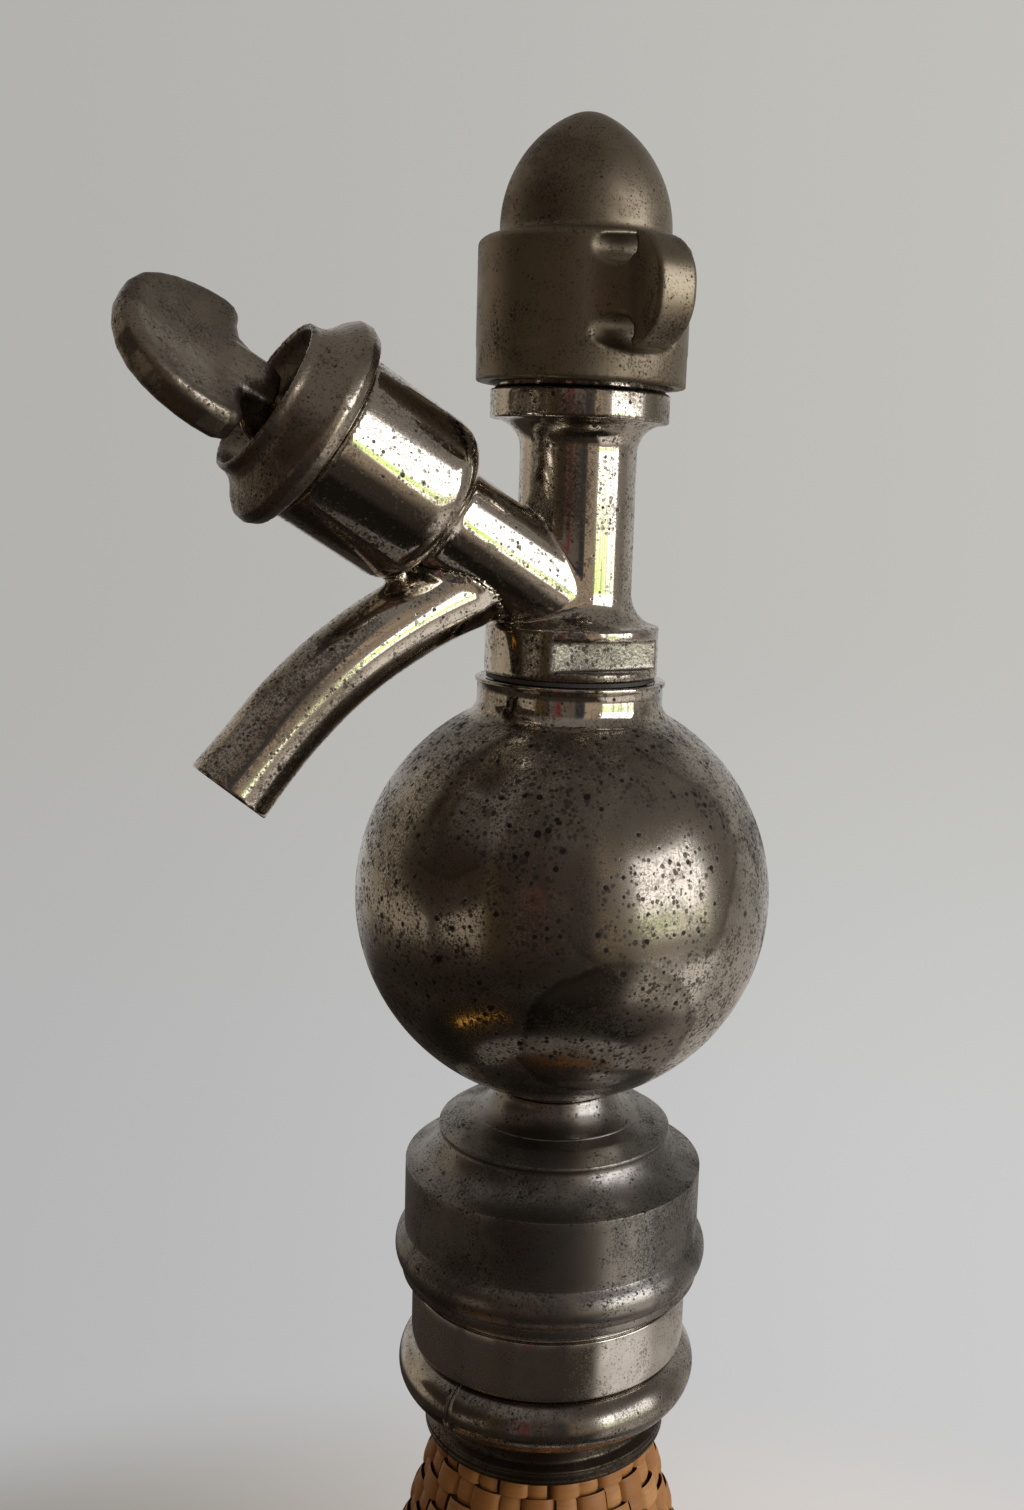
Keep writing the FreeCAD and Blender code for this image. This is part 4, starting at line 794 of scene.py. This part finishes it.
finished(surface("cap", cap_field, (-27, -27.5, 393.6), (27, 27.5, 435), 0.5), "cap", ["bulb_cap"],
         brass)
finished(surface("casting", head_field, (-55, -15, 339.5), (15, 15, 405), 0.5), "head", ["head_body"],
         nickel)
finished(surface("spout_tube", spout_field, (-62, -7.6, 326), (-10, 7.6, 372), 0.4), "head", ["spout"],
         nickel)
finished(surface("valve_ring", ring_field, (-62, -16.5, 368), (-28, 16.5, 405), 0.4), "head", ["lever_cap"],
         white_metal)
finished(surface("thumb", lever_field, (-72, -20, 365), (-32, 20, 412), 0.4), "lever", ["thumb_lever"],
         white_metal)


# ---- turned pieces: outlines of (radius, height), with a rounding where a corner has one ----

BALL_Z, BALL_RADIUS, BALL_WALL = 315.0, 33, 1.5
MOUTH_RADIUS, MOUTH_BORE, MOUTH_TOP, MOUTH_FILLET = 14.6, 12.3, 349.6, 3.0
ball_outline = (
    [(7.0, 275.4), (8.6, 275.4), (8.6, 280.4), (9.6, 280.45), (9.65, 283.1)]
    + arc((0, BALL_Z), BALL_RADIUS, -72.5, 60.7, 90)
    + arc((MOUTH_RADIUS + MOUTH_FILLET, 346.40), MOUTH_FILLET, 240.7, 180, 10)
    + [(MOUTH_RADIUS, 347.4), (MOUTH_RADIUS, 348.8), (14.95, 349.05), (14.95, 349.5), (14.85, MOUTH_TOP),
       (MOUTH_BORE, MOUTH_TOP), (MOUTH_BORE, 345.0)]
    + arc((0, BALL_Z), BALL_RADIUS - BALL_WALL, 67.0, -77.2, 60))
finished(lathe("ball", ball_outline, 256), "head", ["ball_chamber"], ball_plate)

BASE_WALL, TIER_WALL = 24.3, 18.95
base_outline = eased(
    [(22, 251, 0.2), (24.6, 251, 0.3), (24.6, 252.35, 0.1)]
    + arc((21.65, 255.3), 4.1, -44, 44, 12)
    + [(BASE_WALL, 258.6, 0.2), (BASE_WALL, 269.85, 0.2)]
    + arc((25.87, 277.23), 7.5, 257, 194.5, 10)
    + [(TIER_WALL, 275.65, 0.15), (TIER_WALL, 276.1, 0.35), (16.2, 277.9, 2.0), (14.0, 278.45, 0.5)]
    + arc((14.5, 283.1), 4.65, 264, 186, 12)
    + [(9.7, 282.9, 0.05), (9.7, 280.5, 0.1), (8.65, 280.5, 0.1), (8.65, 275.35, 0.1), (7, 275.35, 0.1),
       (7, 261.1, 0.1), (22, 261.1, 0.1)], 3)
finished(lathe("base", base_outline, 224), "head", ["base_cap"], base_plate)

nut_outline = eased(
    [(19.6, 239.35, 0.2), (22.8, 239.35, 0.4), (22.8, 249.1, 0.2), (22.1, 249.15, 0.1), (22.1, 249.6, 0.1),
     (22.85, 249.65, 0.25), (22.85, 250.6, 0.25), (21.7, 250.65, 0.2), (21.7, 260, 0.3), (20.5, 260, 0.2),
     (20.5, 243.4, 0.1), (19.6, 243.4, 0.1)], 4)
finished(lathe("nut", nut_outline, 200), "flask", ["neck_nut"], bright)

NECK_HOLE = 14.15
ring_outline = (
    [(NECK_HOLE, 231.1), (17.3, 231.1)] + arc((20.3, 234.5), 4.5, -131, 104, 40)
    + [(19.2, 243.3), (20.1, 243.65), (20.1, 246.4), (NECK_HOLE, 246.4)])
HALF_SWEEP = 179.0
SEAM = 25.5
for label, node, seam in (("front_half", "split_ring_front", SEAM - 180),
                          ("back_half", "split_ring_back", SEAM)):
    finished(lathe(label, ring_outline, 96, seam, HALF_SWEEP), "flask", [node], ring_plate)

SKIRT_WALL, GROOVE = 20.2, 19.95
skirt_outline = eased(
    [(NECK_HOLE, 223.2, 0.1), (SKIRT_WALL, 223.2, 0.3), (SKIRT_WALL, 223.9, 0.15), (GROOVE, 224.05, 0.1),
     (SKIRT_WALL, 224.2, 0.15), (SKIRT_WALL, 224.9, 0.15), (GROOVE, 225.05, 0.1), (SKIRT_WALL, 225.2, 0.15),
     (20.15, 225.5, 0.3), (18.75, 226.3, 0.6), (18.7, 229.9, 0.2), (NECK_HOLE, 229.9, 0.1)], 3)
# The skirt takes the plate that is painted dark for its shade under the split ring.
finished(lathe("skirt", skirt_outline, 160), "flask", ["wicker_collar"], shaded_skirt_plate)


# ---- woven cane ----

BELLY_TURN_Z = 105.67
side_line = [(17.3, 222.9)] + arc((119.91, 229.72), 100, 197.3, 210, 12)
side_line += arc((-62.5, BELLY_TURN_Z), 120, 30, 0, 24)
side_line += [(-542.5 + math.sqrt(600 ** 2 - (z - BELLY_TURN_Z) ** 2), z) for z in np.linspace(102, 8, 26)]
side_line = np.array(side_line)
run = np.concatenate([[0], np.cumsum(np.linalg.norm(np.diff(side_line, axis=0), axis=1))])


def on_side(distance):
    """Radius, height and outward slope of the cover this far down its side."""
    ahead = distance + 0.5
    r, z = np.interp(distance, run, side_line[:, 0]), np.interp(distance, run, side_line[:, 1])
    dr, dz = np.interp(ahead, run, side_line[:, 0]) - r, np.interp(ahead, run, side_line[:, 1]) - z
    size = np.hypot(dr, dz) + 1e-9
    return r, z, -dz / size, dr / size


class Strips:
    """Patches of cane gathered into one mesh, each with its own shade."""

    def __init__(self):
        self.points, self.faces, self.shades, self.total = [], [], [], 0

    def add(self, points, faces, shade):
        self.points.append(points)
        self.faces.append(faces + self.total)
        self.shades.append(np.full(len(points), shade))
        self.total += len(points)

    def piece(self, name):
        made = mesh_of(name, np.concatenate(self.points) * MM, np.concatenate(self.faces))
        layer = made.data.attributes.new("strip", "FLOAT", "POINT")
        shades = np.clip(np.concatenate(self.shades), 0, 1)
        layer.data.foreach_set("value", shades.astype(np.float32))
        return made


def patch(turn_at, turn, down, half, lift, skew, sag):
    """A patch that lies on the cover: its points and faces."""
    nu, nv = lift.shape
    u, v = np.meshgrid(np.linspace(-1, 1, nu), np.linspace(-1, 1, nv), indexing="ij")
    at = np.clip(down + half * v * (1 - sag * np.abs(u) ** 3) + skew * u, 0.02, run[-1] - 0.02)
    r, z, nr, nz = on_side(at)
    r, z = r + nr * lift, z + nz * lift
    a = turn_at + turn * u
    i, j = np.meshgrid(np.arange(nu - 1), np.arange(nv - 1), indexing="ij")
    faces = np.stack([i * nv + j, i * nv + j + 1, (i + 1) * nv + j + 1, (i + 1) * nv + j], -1)
    return np.stack([r * np.cos(a), r * np.sin(a), z], -1).reshape(-1, 3), faces.reshape(-1, 4)


ROW_PITCH, STAKE_WIDTH = 3.7, 3.3
STAKES_AT_NECK, STAKES_AT_BELLY, MORE_STAKES_FROM = 26, 52, 33
FIRST_STAKE = 0.35
chance = np.random.default_rng(7)


def weave(name):
    """Flat cane wefts over and under upright stakes, a strip at a time, in one mesh."""
    strips = Strips()
    across = np.linspace(-1, 1, 5)
    uw, vw = np.meshgrid(np.linspace(-1, 1, 11), across, indexing="ij")
    us, vs = np.meshgrid(across, across, indexing="ij")
    weft_bow = 0.34 + 0.65 * (1 - np.abs(uw) ** 2.2) - 0.9 * np.abs(uw) ** 8 - 0.16 * np.abs(vw) ** 6
    stake_bow = 0.30 - 0.35 * np.abs(us) ** 5 - 0.55 * np.abs(vs) ** 4
    weft_sink, stake_sink = 0.65, 0.45
    stake_shade = chance.uniform(0.2, 0.9, 80)
    for row in range(int(run[-1] / ROW_PITCH)):
        down = (row + 0.5) * ROW_PITCH
        r = float(on_side(down)[0])
        count = STAKES_AT_NECK if r < MORE_STAKES_FROM else STAKES_AT_BELLY
        step = 2 * math.pi / count
        row_shade = chance.uniform(0.25, 0.8)
        for stake in range(count):
            angle = step * stake + FIRST_STAKE + chance.normal() * 0.012
            if (stake + row) % 2:
                turn = (step - 0.5 * STAKE_WIDTH / r) * 1.03
                down_here = down + chance.normal() * 0.08
                shade = row_shade + chance.normal() * 0.12
                made = patch(angle, turn, down_here, ROW_PITCH * 0.5, weft_bow - weft_sink,
                             chance.normal() * 0.10, 0.10)
            else:
                turn = 0.5 * STAKE_WIDTH / r * chance.uniform(0.92, 1.08)
                shade = stake_shade[stake * (STAKES_AT_BELLY // count)] + chance.normal() * 0.08
                made = patch(angle, turn, down, ROW_PITCH * 0.56, stake_bow - stake_sink,
                             chance.normal() * 0.06, 0.0)
            strips.add(*made, shade)
    return strips.piece(name)


def plait(name, radius=49.5, height=3.85, waves=26, samples=900, sides=10):
    """The foot's rim: a three-strand plait."""
    strips = Strips()
    t = np.linspace(0, 2 * np.pi, samples, endpoint=False)
    ring = np.linspace(0, 2 * np.pi, sides, endpoint=False)
    i, j = np.meshgrid(np.arange(samples), np.arange(sides), indexing="ij")
    i2, j2 = (i + 1) % samples, (j + 1) % sides
    faces = np.stack([i * sides + j, i2 * sides + j, i2 * sides + j2, i * sides + j2], -1).reshape(-1, 4)
    for strand in range(3):
        phase = waves * t + strand * 2 * np.pi / 3
        r = (radius + 1.35 * np.sin(2 * phase))[:, None] + 1.75 * np.cos(ring)
        z = (height + 1.75 * np.sin(phase))[:, None] + 1.9 * np.sin(ring)
        points = np.stack([r * np.cos(t)[:, None], r * np.sin(t)[:, None], np.maximum(z, 0.15)], -1)
        strips.add(points.reshape(-1, 3), faces, 0.35 + 0.2 * strand)
    return strips.piece(name)


finished(weave("weave"), "flask", ["wicker_cover"], straw)
BACK_OUTER, BACK_INNER = 1.0, 3.0
backing = [(r - BACK_OUTER, z) for r, z in side_line[::-1]] + [(r - BACK_INNER, z) for r, z in side_line]
finished(lathe("weave_back", backing, 96), "flask", ["wicker_cover"], cane_shadow)
finished(plait("foot_plait"), "flask", ["wicker_foot"], straw)
COILS, COIL_PITCH, COIL_RADIUS = 11, 4.1, 1.1
floor_outline = [(0.6, 0.15), (48.1, 0.15), (48.1, 3.4)]
for coil in range(COILS, 0, -1):
    floor_outline += arc((coil * COIL_PITCH - 1.6, 2.6), COIL_RADIUS, 30, 150, 4)
finished(lathe("foot_floor", floor_outline + [(0.6, 3.0)], 96), "flask", ["wicker_foot"], straw)


# ---- solids shown as they are ----

SHOWN = {
    "collar_washer": lead, "glass_bottle": bottle_glass, "dip_tube": tube_glass, "riser_tube": inner_brass,
    "riser_guide": inner_brass, "dip_sleeve": rubber, "neck_washer": rubber, "check_seat": inner_brass,
    "check_ball": inner_steel, "piercing_pin": inner_steel, "bulb_washer": rubber, "bulb_pad": rubber,
    "gas_bulb": bulb_steel, "valve_seat": inner_brass, "valve_stem": inner_brass, "valve_washer": rubber,
    "valve_spring": inner_steel, "gland_seal": rubber, "gland_disc": inner_brass, "lever_pin": inner_steel,
}
for label, material in SHOWN.items():
    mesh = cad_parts[label].data
    mesh.materials.clear()
    mesh.materials.append(material)


# ---- camera, light and floor ----

CAMERA_PLACE = Vector((-0.10622, -0.20848, 0.37803))
RIGHT, AHEAD = Vector((0.88285, -0.46801, 0.03921)), Vector((0.46745, 0.86756, -0.16979))
AHEAD.normalize()
RIGHT = (RIGHT - AHEAD * RIGHT.dot(AHEAD)).normalized()
ABOVE = RIGHT.cross(AHEAD)
lens = bpy.data.cameras.new("view")
lens.lens = 35.71
lens.sensor_width = 36
lens.shift_x = -0.0593
lens.shift_y = -0.0011
lens.clip_start = 0.01
viewer = bpy.data.objects.new("view", lens)
viewer.matrix_world = Matrix.Translation(CAMERA_PLACE) @ Matrix((RIGHT, ABOVE, -AHEAD)).transposed().to_4x4()
bpy.context.scene.collection.objects.link(viewer)
bpy.context.scene.camera = viewer
bpy.context.scene.view_settings.view_transform = "Standard"

# The room as the metal mirrors it: azimuth in degrees from the side the object is seen from, growing
# rightward, then the wall's colour.
WALLS = [
    (-180, (0.62, 0.61, 0.59)), (-136, (0.60, 0.59, 0.56)), (-130, (0.50, 0.44, 0.36)),
    (-102, (0.48, 0.41, 0.32)), (-66, (0.40, 0.35, 0.28)), (-43, (0.40, 0.34, 0.27)),
    (-41, (0.10, 0.065, 0.02)), (-25, (0.05, 0.04, 0.03)), (-23, (0.16, 0.15, 0.15)),
    (-12, (0.17, 0.03, 0.025)), (-8, (0.16, 0.14, 0.12)), (6, (0.14, 0.12, 0.10)),
    (9, (0.035, 0.04, 0.055)), (18, (0.05, 0.05, 0.06)), (20, (0.50, 0.40, 0.30)),
    (41, (0.46, 0.37, 0.28)), (86, (0.34, 0.30, 0.27)), (105, (0.30, 0.28, 0.25)),
    (135, (0.55, 0.54, 0.51)), (180, (0.62, 0.61, 0.59)),
]
ROOM_TURN = math.radians(117)
DOORWAY, DARK_BROWN, CEILING = -72, (0.05, 0.036, 0.026), (0.22, 0.205, 0.185)
WINDOW_LEFT, WINDOW_RIGHT, WINDOW_BARS = 41, 85, (55, 66, 76)
DAYLIGHT, LOW_DAYLIGHT, LEAF_GREEN = (4.4, 4.5, 4.7), (2.6, 2.5, 2.3), (1.25, 1.9, 0.35)


def spot(degrees):
    """An azimuth as a share of the way round."""
    return degrees / 360 + 0.5


def between(n, place, rise, full, fall, gone, level=1.0):
    """A level that rises between the first two azimuths and falls between the last two."""
    rising = n.smooth(place, spot(rise), spot(full))
    return n.times(rising, n.smooth(place, spot(fall), spot(gone), level, 0.0))


def walls(n, place, z):
    """Walls with a doorway that widens upward, and the ceiling above them."""
    around = n.ramp(place, [(spot(azimuth), colour) for azimuth, colour in WALLS])
    patchy = n.noise(3.0, 3, 0.6)
    around = n.mix(n.ramp(patchy, [(0.35, 0.0), (0.7, 0.35)]), around, (0.10, 0.075, 0.055))
    off = n.amount(n.plus(place, -spot(DOORWAY)))
    half = n.plus(n.times(n.plus(z, 0.145), 0.333), 0.017)
    half = n.smaller(n.larger(half, 0.010), 0.085)
    around = n.mix(n.smooth(n.less(off, half), 0.006, -0.006), around, DARK_BROWN)
    return n.mix(n.smooth(z, 0.35, 0.75), around, CEILING)


def table(n, place, z):
    """The table: dark on the left, sunlit by the window, with a shadow below and a gold rim."""
    top = n.mix(n.smooth(place, spot(38), spot(50)), (0.045, 0.036, 0.029), (0.95, 0.90, 0.85))
    top = n.mix(n.smooth(place, spot(88), spot(104)), top, (0.50, 0.46, 0.42))
    shadow = n.mix(n.smooth(place, spot(70), spot(110)), (0.012, 0.010, 0.008), (0.34, 0.30, 0.27))
    top = n.mix(n.smooth(z, -0.66, -0.76), top, shadow)
    rim = n.times(n.smooth(z, -0.80, -0.81), n.smooth(z, -0.83, -0.82))
    return n.mix(n.times(rim, between(n, place, -95, -85, -46, -34)), top, (1.0, 0.50, 0.09))


def window(n, place, z):
    """Where the window's panes are, and the light in them, with leaves outside."""
    height = n.times(n.smooth(z, -0.22, -0.18), n.smooth(z, 0.42, 0.48, 1.0, 0.0))
    panes = between(n, place, WINDOW_LEFT - 1, WINDOW_LEFT + 1, WINDOW_RIGHT - 1, WINDOW_RIGHT + 1)
    for a in WINDOW_BARS:
        bar = between(n, place, a - 1.0, a - 0.5, a + 0.5, a + 1.0, 0.8)
        panes = n.times(panes, n.less(1.0, bar))
    leaves = n.times(n.smooth(n.noise(22, 4, 0.7), 0.40, 0.54),
                     n.times(n.smooth(z, 0.03, -0.03), n.smooth(z, -0.15, -0.11)))
    leaves = n.times(leaves, n.smooth(place, spot(58), spot(72), 1.0, 0.25))
    glow = n.mix(leaves, DAYLIGHT, LEAF_GREEN)
    glow = n.mix(n.smooth(z, 0.02, -0.06), glow, n.mix(leaves, LOW_DAYLIGHT, LEAF_GREEN))
    return n.times(panes, height), glow


def backdrop(n, x, y, z):
    """The plain pale wall behind the object, lighter to the right and below."""
    across = n.plus(n.times(x, 0.883), n.times(y, -0.468))
    rightward = n.smooth(across, -0.45, 0.35)
    high = n.mix(rightward, (0.445, 0.44, 0.42), (0.535, 0.53, 0.50))
    low = n.mix(rightward, (0.46, 0.46, 0.465), (0.60, 0.60, 0.60))
    ground = n.mix(n.smooth(across, -0.4, 0.2), (0.27, 0.25, 0.22), (0.66, 0.62, 0.59))
    pale = n.mix(n.smooth(z, -0.05, -0.45), high, low)
    return n.mix(n.smooth(z, -0.53, -0.60), pale, ground)


def room():
    """A brown room with one tall window; seen directly, it is a plain pale wall."""
    world = bpy.data.worlds.new("room")
    bpy.context.scene.world = world
    world.use_nodes = True
    n = Nodes(world.node_tree, "Generated")
    x, y, z = n.split(n.where)
    turned_x, turned_y, _ = n.split(n.mapped(turn=(0, 0, ROOM_TURN)))
    side = n.calculate("ARCTAN2", turned_y, turned_x)
    place = n.plus(n.times(side, 1 / (2 * math.pi)), 0.5)
    indoors = n.mix(n.smooth(z, -0.22, -0.46), walls(n, place, z), table(n, place, z))
    panes, glow = window(n, place, z)
    mirrored = n.mix(panes, indoors, glow)
    path = n.add("ShaderNodeLightPath")
    back = n.tree.nodes["Background"]
    n.link(n.mix(path.outputs["Is Camera Ray"], mirrored, backdrop(n, x, y, z)), back.inputs["Color"])
    back.inputs["Strength"].default_value = 1.0


room()

FLOOR_RADIUS, FLOOR_TOP, FLOOR_DEPTH = 150, -0.05, -2.0
floor = lathe("floor", [(0.5, FLOOR_DEPTH), (FLOOR_RADIUS, FLOOR_DEPTH), (FLOOR_RADIUS, FLOOR_TOP),
                        (0.5, FLOOR_TOP)], 96)
floor.data.materials.append(plain("floor_paint", (0.72, 0.71, 0.69), (0.68, 0.67, 0.65), 0.6, 0.0, 20,
                                  0.02 * MM))
